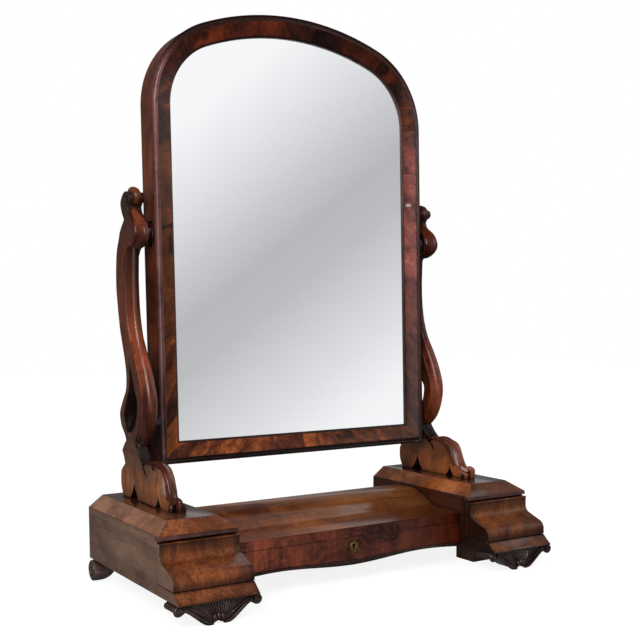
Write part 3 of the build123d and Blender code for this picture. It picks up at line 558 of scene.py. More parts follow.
# Woods and metals
woods = {
    "sideVeneer": dict(
        dark=(0.105, 0.058, 0.036), light=(0.245, 0.135, 0.086), patch=(0.34, 0.190, 0.128), turn=alongY,
        plume=0.1, gloss=0.3, patches=0.55, polish=0.6, edge=0.35, depth=0.6),
    # a darker copy of the side veneer for the faces turned in towards the centre: painted shade between the
    # boxes, darkest towards the front
    "innerShadedVeneer": dict(
        dark=(0.024, 0.006, 0.003), light=(0.125, 0.030, 0.010), patch=(0.18, 0.046, 0.014), turn=alongY,
        plume=0.1, gloss=0.3, polish=0.3, edge=0.35, corner=1.0,
        zones=[("Y", [(-0.160, 0.2), (-0.095, 0.25), (-0.080, 0.6), (0.174, 0.7)])]),
    # in the X belts of the three lid woods the right box's lid is darker, painted shade away from the key
    # light, and the right lid's inner end is tinted warmer
    "lidFlat": dict(
        dark=(0.040, 0.011, 0.005), light=(0.20, 0.062, 0.022), patch=(0.30, 0.11, 0.04), turn=alongY,
        gloss=0.14, polish=0.8,
        zones=[("X", [(-0.350, 0.85), (-0.222, 0.85), (0.222, 0.45), (0.350, 0.38)])]),
    "lidFront": dict(
        dark=(0.085, 0.020, 0.006), light=(0.36, 0.110, 0.036), patch=(0.50, 0.18, 0.06), turn=alongY,
        scale=1.3, plume=0.1, fine=0.5, polish=0.6,
        zones=[("X", [(-0.350, 1.25), (-0.222, 1.2), (0.222, (0.5, 0.52, 0.7)),
                      (0.350, (0.45, 0.48, 0.7))])]),
    "lidEnd": dict(
        dark=(0.120, 0.050, 0.026), light=(0.38, 0.175, 0.098), patch=(0.50, 0.25, 0.15), scale=1.2,
        plume=0.1, gloss=0.24, fine=0.5, polish=0.6,
        zones=[("X", [(-0.350, 1.4), (-0.222, 1.2), (0.222, (1.25, 0.78, 0.36)),
                      (0.235, (1.25, 0.78, 0.36)), (0.350, 1.2)])]),
    # painted light and shade in the belts: dark under the lip and at the foot, light over the belly and the
    # slope; dark at the ends and on the right box, and a painted highlight on the right box's inner arris
    "ogeeVeneer": dict(
        dark=(0.100, 0.020, 0.005), light=(0.38, 0.100, 0.018), patch=(0.55, 0.175, 0.032), turn=upright,
        bend=0.35, scale=2.4, plume=0.0, gloss=0.34, polish=0.2, polishRough=0.3, fine=0.6, speckle=0.6,
        corner=0.45,
        zones=[("Z", [(0.051, 0.35), (0.057, 0.55), (0.063, 1.1), (0.068, 1.15), (0.078, 1.0), (0.092, 1.0),
                      (0.102, 0.6), (0.1075, 0.4), (0.1083, 1.0), (0.110, 1.0)]),
               ("X", [(-0.350, 0.35), (-0.344, 0.6), (-0.337, 1.05), (-0.235, 1), (-0.229, 0.6),
                      (-0.222, 0.45), (0.2219, 0.45), (0.2220, (6, 7, 11)), (0.2236, (6, 7, 11)),
                      (0.2242, 0.4), (0.229, 0.5), (0.235, 0.75), (0.337, 0.72), (0.343, 0.5),
                      (0.350, 0.35)])]),
    # painted light and shade in the belts: dark at the top and foot of the flare, dark at the ends and on
    # the right box, and a painted highlight on the right box's inner arris
    "plinthVeneer": dict(
        dark=(0.115, 0.029, 0.010), light=(0.37, 0.115, 0.037), patch=(0.56, 0.190, 0.055), turn=upright,
        bend=0.35, scale=2.4, plume=0.0, polish=0.45, fine=0.6, speckle=0.6,
        zones=[("Z", [(0.034, 0.35), (0.037, 0.7), (0.041, 1.0), (0.047, 1.0), (0.0505, 0.3)]),
               ("X", [(-0.350, 0.6), (-0.343, 1), (-0.229, 1), (-0.222, 0.5), (0.2221, 0.5),
                      (0.2223, (5, 6, 9)), (0.2236, (5, 6, 9)), (0.2242, 0.5), (0.229, 0.8), (0.343, 0.8),
                      (0.350, 0.5)])]),
    # painted light in the X belts: the top lighter on the left, towards the lamps, and darker to the right;
    # the Y belts make the front warmer
    "platformVeneer": dict(
        dark=(0.080, 0.018, 0.005), light=(0.28, 0.087, 0.020), patch=(0.46, 0.160, 0.040), bend=0.9,
        scale=0.8, plume=0.35, gloss=0.22, patches=0.7,
        zones=[("X", [(-0.22, 1.8), (0.0, 1.1), (0.22, 0.85)]),
               ("Y", [(-0.085, (1.1, 0.85, 0.55)), (-0.03, (1.05, 0.9, 0.7)), (0.0, 1.0)])]),
    # painted light in the belts: the centre drawer's front much lighter on the left, towards the lamps, and
    # darker and duller on the right
    "flameVeneer": dict(
        dark=(0.020, 0.0045, 0.0025), light=(0.125, 0.025, 0.011), patch=(0.22, 0.05, 0.02), turn=upright,
        bend=1.2, scale=1.3, plume=0.8, patches=0.6, gloss=0.18, polish=0.45,
        zones=[("X", [(-0.22, 2.6), (-0.02, 1.4), (0.08, 0.85), (0.22, (0.65, 0.42, 0.3))])]),
    # painted light and shade in the belts: the left stile darker, the rail and arch lighter on the left than
    # on the right, a pale bluish sheen painted at their right ends; lighter on the bottom rail, darker up
    # the arch
    "frameVeneer": dict(
        dark=(0.020, 0.0045, 0.0025), light=(0.125, 0.027, 0.0085), patch=(0.50, 0.132, 0.022),
        follows="barPlace", leaves=6.3, turn=upright, bend=1.6, scale=2.0, plume=0.6, patches=0.6,
        polish=0.15, depth=0.8, speckle=0.35, corner=0.6, shine=0.22,
        zones=[("X", [(-0.264, 0.7), (-0.240, 0.8), (-0.222, 1.6), (-0.05, 1.5), (0.08, 0.85),
                      (0.215, (0.6, 0.5, 0.4)), (0.240, (1.2, 1.3, 1.5)), (0.264, (1.7, 1.8, 2.2))]),
               ("Z", [(0.19, 1.4), (0.229, 1.4), (0.24, 1.1), (0.36, 0.9), (0.48, 0.6), (0.7, 0.6),
                      (0.8, (0.7, 0.6, 0.6)), (0.86, (0.44, 0.28, 0.22)), (0.9, (0.34, 0.19, 0.15))])]),
    # the right stile's copy of the frame veneer, with a painted reflection: a pale bluish-pink sheen up its
    # upper half; the chip is a real knock
    "frameRightSheen": dict(
        dark=(0.026, 0.006, 0.004), light=(0.140, 0.027, 0.012), patch=(0.34, 0.072, 0.026),
        follows="barPlace", leaves=6.3, turn=upright, bend=1.6, scale=2.0, plume=0.6, gloss=0.24, depth=0.8,
        speckle=0.35, corner=0.6, chip=(0.2405, 0.0878, 0.6315),
        zones=[("Z", [(0.19, 0.8), (0.30, 0.8), (0.42, (1.4, 1.5, 2.2)), (0.53, (2.1, 2.5, 4.7)),
                      (0.70, (1.9, 2.2, 4.2)), (0.766, (1.1, 1.1, 1.7))])]),
    # its pale mauve is partly a painted highlight; the belts paint a brighter highlight along the left stile
    # and up the haunches, and shade low on the stiles, on the bottom rail's bead and over the arch
    "frameBead": dict(
        dark=(0.040, 0.018, 0.016), light=(0.150, 0.078, 0.070), patch=(0.22, 0.12, 0.11),
        follows="barPlace", bend=0.4, scale=1.5, plume=0.2, patches=0.3, edge=0.0, corner=0.1,
        zones=[("Z", [(0.19, 0.2), (0.203, 0.25), (0.212, 0.5), (0.48, 0.5), (0.64, 1.2), (0.80, 1.3),
                      (0.87, (0.5, 0.35, 0.35))]),
               ("X", [(-0.264, (3.4, 2.8, 2.9)), (-0.20, 1.0), (0.264, 1.0)])]),
    "frameSide": dict(
        dark=(0.036, 0.007, 0.004), light=(0.20, 0.040, 0.016), patch=(0.36, 0.09, 0.030), turn=upright,
        bend=0.6, scale=0.8, patches=0.4, gloss=0.25, polish=0.3, corner=0.3, edge=0.2),
    # belts: lighter and golden at the foot and darker towards the head; the right upright darker and warmer,
    # painted shade on the right
    "board": dict(
        dark=(0.045, 0.014, 0.008), light=(0.19, 0.064, 0.028), patch=(0.28, 0.110, 0.052), turn=upright,
        bend=0.5, scale=0.9, gloss=0.24, corner=0.8, edge=0.8, polish=0.3,
        zones=[("Z", [(0.13, (2.5, 2.6, 1.9)), (0.165, (2.7, 2.8, 2.0)), (0.19, (1.9, 2.2, 2.2)),
                      (0.22, (1.3, 1.5, 1.6)), (0.26, (0.95, 0.7, 0.5)), (0.5, (0.95, 0.5, 0.3)),
                      (0.56, (0.55, 0.38, 0.3)), (0.60, (0.25, 0.24, 0.28))]),
               ("X", [(-0.30, 1.0), (-0.27, 1.0), (0.27, (0.76, 0.60, 0.43)),
                      (0.30, (0.76, 0.60, 0.43))])]),
    # painted light and shade in the belts: bright where the lower bulge and the head's middle catch the
    # light, dark under the head and at the head's edges
    "carved": dict(
        dark=(0.018, 0.0035, 0.0025), light=(0.160, 0.029, 0.010), patch=(0.38, 0.095, 0.024), turn=upright,
        bend=0.5, scale=0.9, patches=0.6, corner=1.0, edge=0.0, polish=0.4, polishRough=0.2,
        zones=[("Z", [(0.13, 0.8), (0.20, 1.2), (0.24, 0.8), (0.28, 2.0), (0.34, 2.2), (0.39, 1.7),
                      (0.44, 0.8), (0.50, 0.35), (0.535, 0.2), (0.552, 0.6), (0.575, 1.4), (0.595, 1.5),
                      (0.606, 0.5), (0.618, 0.7), (0.63, 1.2), (0.64, 0.8)])]),
    # near black: painted shade for the walls of the piercings, the collar, the roundel and the eye
    "hollow": dict(
        dark=(0.006, 0.004, 0.004), light=(0.030, 0.015, 0.013), patch=(0.05, 0.025, 0.020), turn=upright,
        bend=0.5, scale=0.9, plume=0.8, gloss=0.16, patches=0.4, edge=0.0, polish=0.9),
}
plainWoods = {
    "footWood": dict(dark=(0.018, 0.009, 0.008), light=(0.080, 0.040, 0.035), patch=(0.13, 0.066, 0.056),
                     gloss=0.16, polish=0.7, edge=0.0, corner=0.8),
    "drumWood": dict(dark=(0.040, 0.025, 0.025), light=(0.150, 0.091, 0.090), patch=(0.21, 0.131, 0.126),
                     gloss=0.18, polish=0.7, edge=0.0, corner=1.0),
    "darkRail": dict(dark=(0.011, 0.004, 0.0035), light=(0.050, 0.017, 0.012), patch=(0.08, 0.027, 0.018),
                     gloss=0.18, polish=0.6, edge=0.2),
    "lipWood": dict(dark=(0.030, 0.013, 0.011), light=(0.135, 0.054, 0.046), patch=(0.20, 0.085, 0.074),
                    gloss=0.22, edge=0.0, corner=0.2),
    "pine": dict(light=(0.42, 0.27, 0.14), patch=(0.48, 0.32, 0.18), turn=alongY),
    "pineX": dict(),
    "pineZ": dict(shift=(0.09, 0, 0), turn=upright, leaves=5.5, soil=0.35),
    "block": dict(dark=(0.08, 0.038, 0.018), light=(0.22, 0.115, 0.055), patch=(0.26, 0.14, 0.07),
                  scale=0.8, gloss=0.45, polish=0.1, soil=0.4, edge=0.7),
}
# what the polished plain woods share, and what the raw ones share
darkLook = dict(bend=0.4, scale=0.9, plume=0.8, patches=0.3)
rawLook = dict(dark=(0.20, 0.115, 0.055), light=(0.40, 0.26, 0.135), patch=(0.46, 0.31, 0.17), bend=0.2,
               scale=0.6, plume=0.8, patches=0.3, gloss=0.6, polish=0.0, soil=0.45, edge=0.3)
for name, look in plainWoods.items():
    woods[name] = {**(rawLook if name.startswith("pine") or name == "block" else darkLook), **look}
wood = {name: woodMaterial(name, look) for name, look in woods.items()}
print("woods made:", len(wood))


def metalMaterial(name, colour, tarnish, rough):
    # old metal: a bright ground under toCloth tarnish, with fine scratches
    material, shader = newMaterial(name)
    vector = addNode("TexCoord").outputs["Object"]
    cloud = ramp(noise(vector, 260, 5, 0.65), (0.35, 0), (0.65, 1))
    ground = mixColour(times(cloud, 0.6), colour, tarnish)
    age = placed(ageGroup, Vector=vector, Color=ground, Soil=0.35, Gloss=rough)
    feed(shader, {"Base Color": age["Color"], "Roughness": age["Roughness"], "Metallic": 1.0,
                  "Normal": bumped(age["Height"], 0.15, 0.0002)})
    return material


def glassMaterial():
    # silvered plate: a clean sharp mirror with the faintest unevenness and foxing
    material, shader = newMaterial("silveredGlass")
    vector = addNode("TexCoord").outputs["Object"]
    spots = ramp(noise(vector, 90, 5, 0.7), (0.70, 0), (0.78, 1))
    colour = mixColour(times(spots, 0.25), (0.93, 0.94, 0.94), (0.62, 0.60, 0.55))
    feed(shader, {"Base Color": colour, "Roughness": 0.0, "Metallic": 1.0,
                  "Normal": bumped(noise(vector, 9, 2), 0.02, 0.0004)})
    return material


brass = metalMaterial("oldBrass", (0.52, 0.37, 0.14), (0.16, 0.10, 0.045), 0.32)
steel = metalMaterial("oldSteel", (0.42, 0.41, 0.40), (0.12, 0.09, 0.07), 0.38)
silvered = glassMaterial()


# Drawer boxes
box = {"inner": 222.0, "outer": 350.0, "side": 8.0, "foot": 34.5, "plinthTop": 50.4, "frontBase": 51.5,
       "frontTop": 110.5, "lipBase": 113.5, "sideTop": 119.5, "back": 174.5, "plinthBack": -140.0,
       "neck": -112.5, "belly": -157.8, "tray": -103.0, "lipBack": -96.0, "hollow": 13.0, "drop": 15.0,
       "round": 15.0, "rise": 8.0}


def ogeeLine(top):
    # the neck, a hollow quarter, a straight slope that touches both arcs, and the belly's round
    hollowRadius, roundRadius = box["hollow"], box["round"]
    hy, hz = box["neck"] - hollowRadius, box["frontTop"] - box["drop"]
    ry, rz = box["belly"] + roundRadius, box["frontBase"] + box["rise"]
    reach, drop = hy - ry, hz - rz
    touch = math.asin((hollowRadius + roundRadius) / math.hypot(reach, drop))
    turn = math.degrees(touch + math.atan2(reach, drop))
    hollow = arc((hy, hz), hollowRadius, 0, -turn, 20)
    belly = arc((ry, rz), roundRadius, 180 - turn, 180, 20)
    return joined([(box["neck"], top)], hollow, spaced([hollow[-1], belly[0]], 6), belly,
                  [(box["belly"], box["frontBase"])])


def boxSide():
    # a board that ends behind the drawer front, notched for the lip and over the plinth
    front, foot, plinthTop, lipBase = box["tray"] + 0.3, box["foot"], box["plinthTop"], box["lipBase"]
    back, lipBack, plinthBack, top = (box[key] for key in ("back", "lipBack", "plinthBack", "sideTop"))
    return joined([(plinthBack, foot), (back, foot), (back, top), (lipBack, top), (lipBack, lipBase),
                   (front, lipBase), (front, plinthTop), (plinthBack, plinthTop)])


def drawerFront():
    # the ogee with a small bead along its top, on the plain back of the drawer front
    neck, tray, top, bead = box["neck"], box["tray"], box["frontTop"], 1.25
    low = top - 2 * bead
    return joined(ogeeLine(low - 0.4), [(tray, box["frontBase"]), (tray, top)],
                  arc((neck + 0.1, top - bead), bead, 90, 270, 9), [(neck, low)])


def plinthLine():
    # a flared foot: it stands out at the bottom and curves in to the drawer front
    front, foot, back, top = -174.5, box["foot"], box["plinthBack"], box["plinthTop"]
    flare = [(front + 17.0, top), (front + 7.6, 42.2), (front + 1.6, 37.6), (front, 36.2)]
    return joined([(front, foot), (back, foot), (back, top), flare[0]], smooth(flare, 12))


inner, outer, thick = box["inner"], box["outer"], box["side"]
for title, node, line, low, high, arris, finish in (
        ("OuterSide", "box_outer_side", boxSide(), outer - thick, outer, 0.7, "sideVeneer"),
        ("InnerSide", "box_inner_side", boxSide(), inner, inner + thick, 0.7, "innerShadedVeneer"),
        ("DrawerFront", "drawer_front", drawerFront(), inner, outer, 0.5, "ogeeVeneer"),
        ("Plinth", "box_plinth", plinthLine(), inner, outer, 0.6, "plinthVeneer")):
    made = carvePair(title, plate("yz", [line], low, high, arris), node, finish)
    # the outer ends of the drawer fronts and plinths take the side veneer, their inner ends its copy with
    # painted shade
    if node in ("drawer_front", "box_plinth"):
        for piece, way in zip(made, (-1, 1)):
            facing(piece, lambda x, y, z: np.where(way * x > 0.7, 1, np.where(way * x < -0.7, 2, 0)),
                   wood["sideVeneer"], wood["innerShadedVeneer"])


# Centre platform
platform = {"half": 222.0, "front": -85.0, "ledge": 90.5, "ledgeRun": 58.0, "rise": 26.0, "thick": 16.0,
            "slope": 26.0, "cove": 45.0, "crown": 120.0, "back": 88.0}
apron = {"mean": 32.0, "wave": 3.6, "period": 280.0, "topMean": 38.3, "topWave": 2.1, "deep": 19.0,
         "drawerTop": 74.1, "drawerGap": 0.5, "drawerThick": 15.0, "keyZ": 60.2, "keyFoot": 52.2,
         "keyRadius": 3.0}


def platformLine():
    # the front ledge, a hollow arc, a straight slope and a crown arc, and the same line a board's thickness
    # under it
    front, ledge, cove, crown = (platform[key] for key in ("front", "ledge", "cove", "crown"))
    slope = math.radians(platform["slope"])
    start, high = front + platform["ledgeRun"], ledge + platform["rise"]
    straight = (platform["rise"] - (cove + crown) * (1 - math.cos(slope))) / math.tan(slope)
    crownY = start + cove * math.sin(slope) + straight + crown * math.sin(slope)

    def surface(depth):
        hollow = arc((start, ledge + cove), cove + depth, -90, -90 + platform["slope"], 16)
        hump = arc((crownY, high - crown), crown - depth, 90 + platform["slope"], 90, 22)
        return joined([(front, ledge - depth)], hollow, spaced([hollow[-1], hump[0]], 6), hump,
                      [(platform["back"], high - depth)])

    return joined(surface(0), surface(platform["thick"])[::-1])


def waveLine(mean, height, half):
    # the mean less the height times the cosine of the way across, one turn to a period
    x = np.linspace(-half, half, 97)
    return np.stack([x, mean - height * np.cos(2 * np.pi * x / apron["period"])], -1)


def mortise(piece, node, gap, deep):
    # sinks the pocket that a bolt rises into: the underside is cut along the bolt's four sides with a gap
    # round them, and the part inside is carried up
    lowest, highest = (np.array(corner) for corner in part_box(node))
    low, high = lowest - gap, highest + gap
    tiny, reach = 1e-6, 0.004
    work = bmesh.new()
    work.from_mesh(piece.data)

    def under():
        # the faces that look down over the bolt
        found = []
        for face in work.faces:
            spot = np.array([vert.co for vert in face.verts])
            least, most = spot.min(axis=0), spot.max(axis=0)
            covers = np.all(least[:2] <= low[:2] + tiny) and np.all(most[:2] >= high[:2] - tiny)
            if face.normal.z < -0.99 and covers and highest[2] - reach / 2 < least[2] < highest[2] + reach:
                found.append(face)
        return found

    for axis in (0, 1):
        across = np.eye(3)[axis]
        for place in (low, high):
            parts = dict.fromkeys(part for face in under() for part in (*face.verts, *face.edges, face))
            bmesh.ops.bisect_plane(work, geom=list(parts), plane_co=across * place, plane_no=across)
    floor = under()
    raised = bmesh.ops.extrude_face_region(work, geom=floor)["geom"]
    lifted = [part for part in raised if isinstance(part, bmesh.types.BMVert)]
    bmesh.ops.translate(work, vec=(0, 0, deep), verts=lifted)
    bmesh.ops.delete(work, geom=[face for face in floor if face.is_valid], context="FACES_ONLY")
    work.to_mesh(piece.data)
    work.free()
    outward(piece.data)


half, front = platform["half"], platform["front"]
low = waveLine(apron["mean"], apron["wave"], half)
mid = waveLine(apron["topMean"], apron["topWave"], half)
carve("apronRail", plate("xz", [joined(low, mid[::-1])], front, front + apron["deep"], 1.6),
      "platform_apron_rail", wood["darkRail"])
inside, high, keyFoot = half - apron["drawerGap"], apron["drawerTop"], apron["keyFoot"]
mid = waveLine(apron["topMean"] + 0.4, apron["topWave"], inside)
drawerLine = joined(mid, [(inside, high), (-inside, high)])
keyhole = joined(arc((0, apron["keyZ"]), apron["keyRadius"], -57.8, 237.8, 20),
                 [(-1.6, keyFoot), (1.6, keyFoot)])
carve("centreDrawerFront", plate("xz", [drawerLine, keyhole], front, front + apron["drawerThick"], 0.7),
      "centre_drawer_front", wood["flameVeneer"])
top = carve("platformTop", plate("yz", [platformLine()], -half, half, 0.5), "platform_top",
            wood["platformVeneer"])
mortise(top, "lock_bolt", gap=0.0006, deep=0.0056)
# the front edge is veneered like the drawer under it
facing(top, lambda x, y, z: y < -0.7, wood["flameVeneer"])
print("boxes and platform carved")


# Mirror frame
mirror = {"half": 263.7, "bottom": 193.0, "spring": 765.96, "haunch": 143.7, "crown": 22.8, "face": 35.5,
          "bead": 4.75, "step": 2.5, "fall": 10.0, "lip": 2.0, "rebate": 25.4, "rebateDeep": 42.0,
          "shelf": 16.0, "deep": 50.0, "front": 77.7, "tilt": 1.5, "pivotY": 103.0, "pivotZ": 562.0}


def frameSection():
    # in from the outer edge and back from the bead: a half-round bead with a quirk behind it, a face that
    # falls in a soft hollow to a small sight bead, and the rebate
    r, step, face, fall = (mirror[key] for key in ("bead", "step", "face", "fall"))
    shelf, deep, rebate, rebateDeep = (mirror[key] for key in ("shelf", "deep", "rebate", "rebateDeep"))
    over = np.array([1, -1])
    bead = arc((r, r), r, 180, 390, 22) * over + [0, 2 * r]
    bead = bead[bead[:, 0] <= r * 1.9]
    share = np.linspace(0, 1, 14)
    start = r * 2 + 0.5
    slope = np.stack([start + (face - 3.2 - start) * share,
                      step + 0.15 + (fall - 1.6) * (share + 0.06 * np.sin(np.pi * share))], -1)
    sight = arc((face - 1.6, step + fall), 1.6, 180, 360, 10) * over + [0, 2 * (step + fall)]
    glass = step + fall + mirror["lip"]
    return joined([(0, r)], bead, [(r * 2 - 0.35, step + 0.35), (start, step + 0.15)], slope, sight,
                  [(face, glass), (rebate, glass), (rebate, rebateDeep), (shelf, rebateDeep),
                   (shelf, deep - 0.6), (shelf - 0.6, deep), (0.8, deep), (0, deep - 0.8)])


def leaned(points):
    # turned back by the tilt about the pivots' line
    a = -math.radians(mirror["tilt"])
    centre = np.array([0, mirror["pivotY"], mirror["pivotZ"]])
    turn = np.array([[1, 0, 0], [0, math.cos(a), math.sin(a)], [0, -math.sin(a), math.cos(a)]])
    return (points - centre) @ turn + centre


def frameBar(kind):
    # the section carried along a bar: its ends are mitred at the corners and square at the springing
    u, v = section.T
    half, bottom, spring, haunch = (mirror[key] for key in ("half", "bottom", "spring", "haunch"))
    t = np.linspace(0, 1, 30)[:, None]
    if kind == "stile":
        z = (bottom + u) * (1 - t) + spring * t
        x = half - u + 0 * z
    elif kind == "rail":
        x = (2 * t - 1) * (half - u)
        z = bottom + u + 0 * x
    else:
        haunchX = half - haunch
        rise = haunch + mirror["crown"]
        crown = (haunchX**2 + rise**2 - haunch**2) / (2 * mirror["crown"])
        join = math.asin(haunchX / (crown - haunch))
        a = np.linspace(0, np.pi / 2 - join, 26)[:, None]
        b = np.linspace(join, -join, 44)[1:-1, None]
        x, z = haunchX + (haunch - u) * np.cos(a), spring + (haunch - u) * np.sin(a)
        x = np.vstack([x, (crown - u) * np.sin(b), -x[::-1]])
        z = np.vstack([z, spring + rise - crown + (crown - u) * np.cos(b), z[::-1]])
    grid = leaned(np.stack([x, mirror["front"] + v + 0 * x, z], -1))
    step = np.linalg.norm(np.diff(grid, axis=0), axis=2).mean(axis=1)
    run = np.concatenate([[0], np.cumsum(step)])[:, None] + 0 * u
    return skin(grid, flatEnds=True), np.stack([run, v + 0 * run, u + 0 * run], -1).reshape(-1, 3) * 0.001


section = frameSection()
# which finish each strip of the section has: the face, the bead and back, and the outer side
middle = (section + np.roll(section, -1, axis=0)) / 2
zone = np.where((middle[:, 0] > 10.0) & (middle[:, 0] < 32.2) & (middle[:, 1] < 14), 0, 1)
zone[(middle[:, 0] < 0.5) & (middle[:, 1] > 6)] = 2
for start, title in enumerate(("right_stile", "left_stile", "bottom_rail", "arch")):
    # the veneer's grain runs across each bar, so its place is kept as the run along the bar, the depth and
    # the way across
    shape, places = frameBar(title.split("_")[-1])
    piece = carve("frame_" + title, shape, "mirror_" + title,
                  wood["frameRightSheen" if title == "right_stile" else "frameVeneer"], title == "left_stile")
    mesh = piece.data
    kept = mesh.attributes.new("barPlace", "FLOAT_VECTOR", "POINT")
    kept.data.foreach_set("vector", (places + [1.7 * start, 0, 0]).ravel())
    mesh.materials.append(wood["frameBead"])
    mesh.materials.append(wood["frameSide"])
    strips = np.tile(zone, (len(mesh.polygons) - 2) // len(section))
    mesh.polygons.foreach_set("material_index", np.append(strips, [1, 1]).astype(np.int32))
print("mirror frame carved")


# Uprights
post = {"inner": 274.0, "outer": 299.0, "arris": 1.0, "foot": 137.5, "eyeY": 112.0, "eyeZ": 615.0}
middleX = (post["inner"] + post["outer"]) / 2

backLine = joined(
    smooth([(118, 628.5), (123.7, 627), (132.5, 620.8), (138.1, 611.8), (136.8, 603.8), (131.8, 593.9),
            (124.6, 584.6)], 26),
    smooth([(124.6, 584.6), (134.9, 575.1), (143.2, 566.2), (149.1, 553.8), (157.4, 538.3), (160.9, 522.3),
            (163.2, 498.1), (162.8, 473.8), (160.2, 457.5), (157.5, 441.3), (154, 425), (150.1, 408.8),
            (144.4, 392.7), (138.3, 376.6), (132.7, 360.6), (128.4, 344.6), (127.5, 328.5), (130.6, 312.1),
            (144, 295), (156.4, 277.6), (158.2, 269.2), (152.4, 253.2), (137.9, 238.1),
            (133.2, 230.4)], 110),
    smooth([(133.2, 230.4), (141, 224), (151.6, 212)], 8),
    smooth([(151.6, 212), (143, 199.7), (139.5, 191.9)], 8),
    smooth([(139.5, 191.9), (156.5, 178.2), (159, 164.5), (157.9, 153), (154.3, 145.1),
            (150.3, 137.5)], 24))


def archLine(a, b, high):
    # a pointed opening whose two sides flare out at the foot
    middle, foot = (a + b) / 2, post["foot"]
    flare = [(middle + (end - middle) * 0.42, foot + high * 0.45) for end in (a, b)]
    return joined(smooth([(a, foot), flare[0], (middle, foot + high)], 10),
                  smooth([(middle, foot + high), flare[1], (b, foot)], 10))


arches = joined(archLine(119.0, 86.0, 25.5), archLine(18.0, -4.0, 17.0))
toeFront = smooth([
    (-30, 137.5), (-30.5, 146), (-26, 150), (-17, 152.5), (-9, 160), (-3, 171), (2.5, 183), (9, 192.5),
    (18, 198), (30, 200), (44, 200.5), (55, 199.8), (61.5, 197), (62.8, 193.5), (58.5, 189.5),
    (53.8, 184.5), (50.5, 178.6)], 70)
hookNotch = smooth([
    (50.5, 178.6), (58, 184.5), (66, 191.5), (71.5, 199), (76.5, 206.5), (84, 213), (94.6, 226)], 20)
faceArris = smooth([
    (94.6, 226), (94.6, 229.5), (86.9, 243), (78, 255), (69, 276.5), (64.6, 300), (69.9, 316),
    (84.7, 346.5), (99.6, 378), (117.8, 409), (127.1, 441), (130.6, 473), (130.1, 505), (124, 526),
    (112, 541)], 100)
headFront = joined(
    smooth([(112, 541), (101, 541), (91, 545), (84, 551), (81.5, 560), (83.5, 570), (90, 580), (99.5, 588.5),
            (107, 596)], 34),
    smooth([(107, 596), (109.5, 604), (104.5, 609.5), (98.5, 612), (95.5, 617.5), (98, 623.5), (104, 626.5),
            (111, 627), (118, 628.5)], 34))
teardrop = smooth([
    (120.3, 369), (116.4, 345), (116.2, 321), (126, 299), (135.6, 282.5), (140.6, 267), (133, 249),
    (118, 243.5), (103, 249.6), (92, 263), (85, 280), (84, 297), (90, 308), (98, 325), (106.5, 342),
    (114, 356), (120.3, 369)], 90)[:-1]
shaftCrest = smooth([
    (108, 541), (109.5, 515.5), (110.6, 487.4), (108.8, 451.6), (103.3, 419.8), (92.8, 391.4), (75.3, 363),
    (58.6, 331.2), (48.7, 299.4), (50.8, 272), (64, 240.9), (84, 222)], 110)
headCrest = smooth([
    (110, 607), (105, 601), (97, 594.5), (86, 588.5), (75, 581), (67.5, 572), (63.5, 563), (64, 554.5),
    (69.5, 547), (79, 541), (90, 537), (101, 536), (108, 539)], 70)
crestRidge = smooth([
    (134, 622), (127, 631), (119, 635.6), (109, 635.2), (99, 631), (93, 623.5), (92.5, 614.5),
    (97.5, 607.5)], 40)
toeCrest = smooth([
    (-41, 146), (-42.5, 151.5), (-38.5, 155.5), (-30, 157.2), (-24, 158.2), (-19, 160.2), (-14.5, 165),
    (-9.5, 173), (-3.5, 183), (4, 192.5), (13, 200.6), (23, 205.2), (34, 206.8), (45, 206), (54, 204),
    (61, 204.6), (67, 204), (71.0, 200.6), (68.5, 196.4)], 110)
collarCrest = smooth([(92, 239), (87, 231), (81, 223.5), (75, 217), (68, 211), (60, 206)], 24)


def carvings():
    # the ridges and hollows that stand on the board's front edge, and the toes
    shaft = ridged([0.6, 0.82, 0.84, 0.8, 0.7, 0.64, 0.62, 0.62], [6, 9, 9.5, 9, 8, 7.5, 7.5, 7],
                   [10, 14, 14.5, 14, 14, 15, 15, 12])
    head = ridged([0.5, 0.5, 0.46, 0.42, 0.4, 0.36, 0.36], [3, 4.5, 5, 5, 4, 3, 2],
                  [6, 14, 18, 17, 12, 7, 4])
    ridge = np.interp(np.linspace(0, 1, len(crestRidge)), [0, 0.2, 0.5, 0.8, 1], [4.5, 6.6, 7.2, 7.0, 5.0])
    lobes = ridged([0.9, 0.55, 0.34, 0.36, 0.4, 0.5, 0.6], [4.0, 3.4, 2.6, 2.8, 3.2, 2.4, 1.6],
                   [6, 7.5, 7.5, 6.6, 6.2, 4.4, 2.6])
    shapes = [roll(shaftCrest[::-1], middleX, [10.5, 12, 12.3, 12.2, 12, 12, 12, 11], shaft, 24),
              roll(headCrest[::-1], middleX, [10.5, 12.3, 12.4, 12.3, 11.5, 9, 7], head, 22),
              roll(crestRidge[::-1], middleX, ridge[::-1], halfRound(6.5), 14),
              roll(toeCrest, middleX - 1.2, [4.6, 8, 12.5, 13.6, 13.7, 13.7, 13.7, 13.7], lobes,
                   [10, 12, 14, 14, 12, 10, 6, 3, 2.5])]
    toes = ((-9.8, -41.5, 149.5, 4.4), (-0.9, -47.5, 158.5, 4.7), (7.9, -36.5, 149.5, 4.4))
    for place, front, high, half in toes:
        # a toe: a round-fronted pad that stands on the box top and bends back at its own top
        line = smooth([(front + 0.8, 137.6), (front, 142), (front, high - 5), (front + 2.6, high - 1.2),
                       (front + 7, high + 0.4), (front + 14, high + 1.2)], 30)
        shapes.append(roll(line, middleX + place, half, halfRound(half), 13))
    return gathered(*shapes)


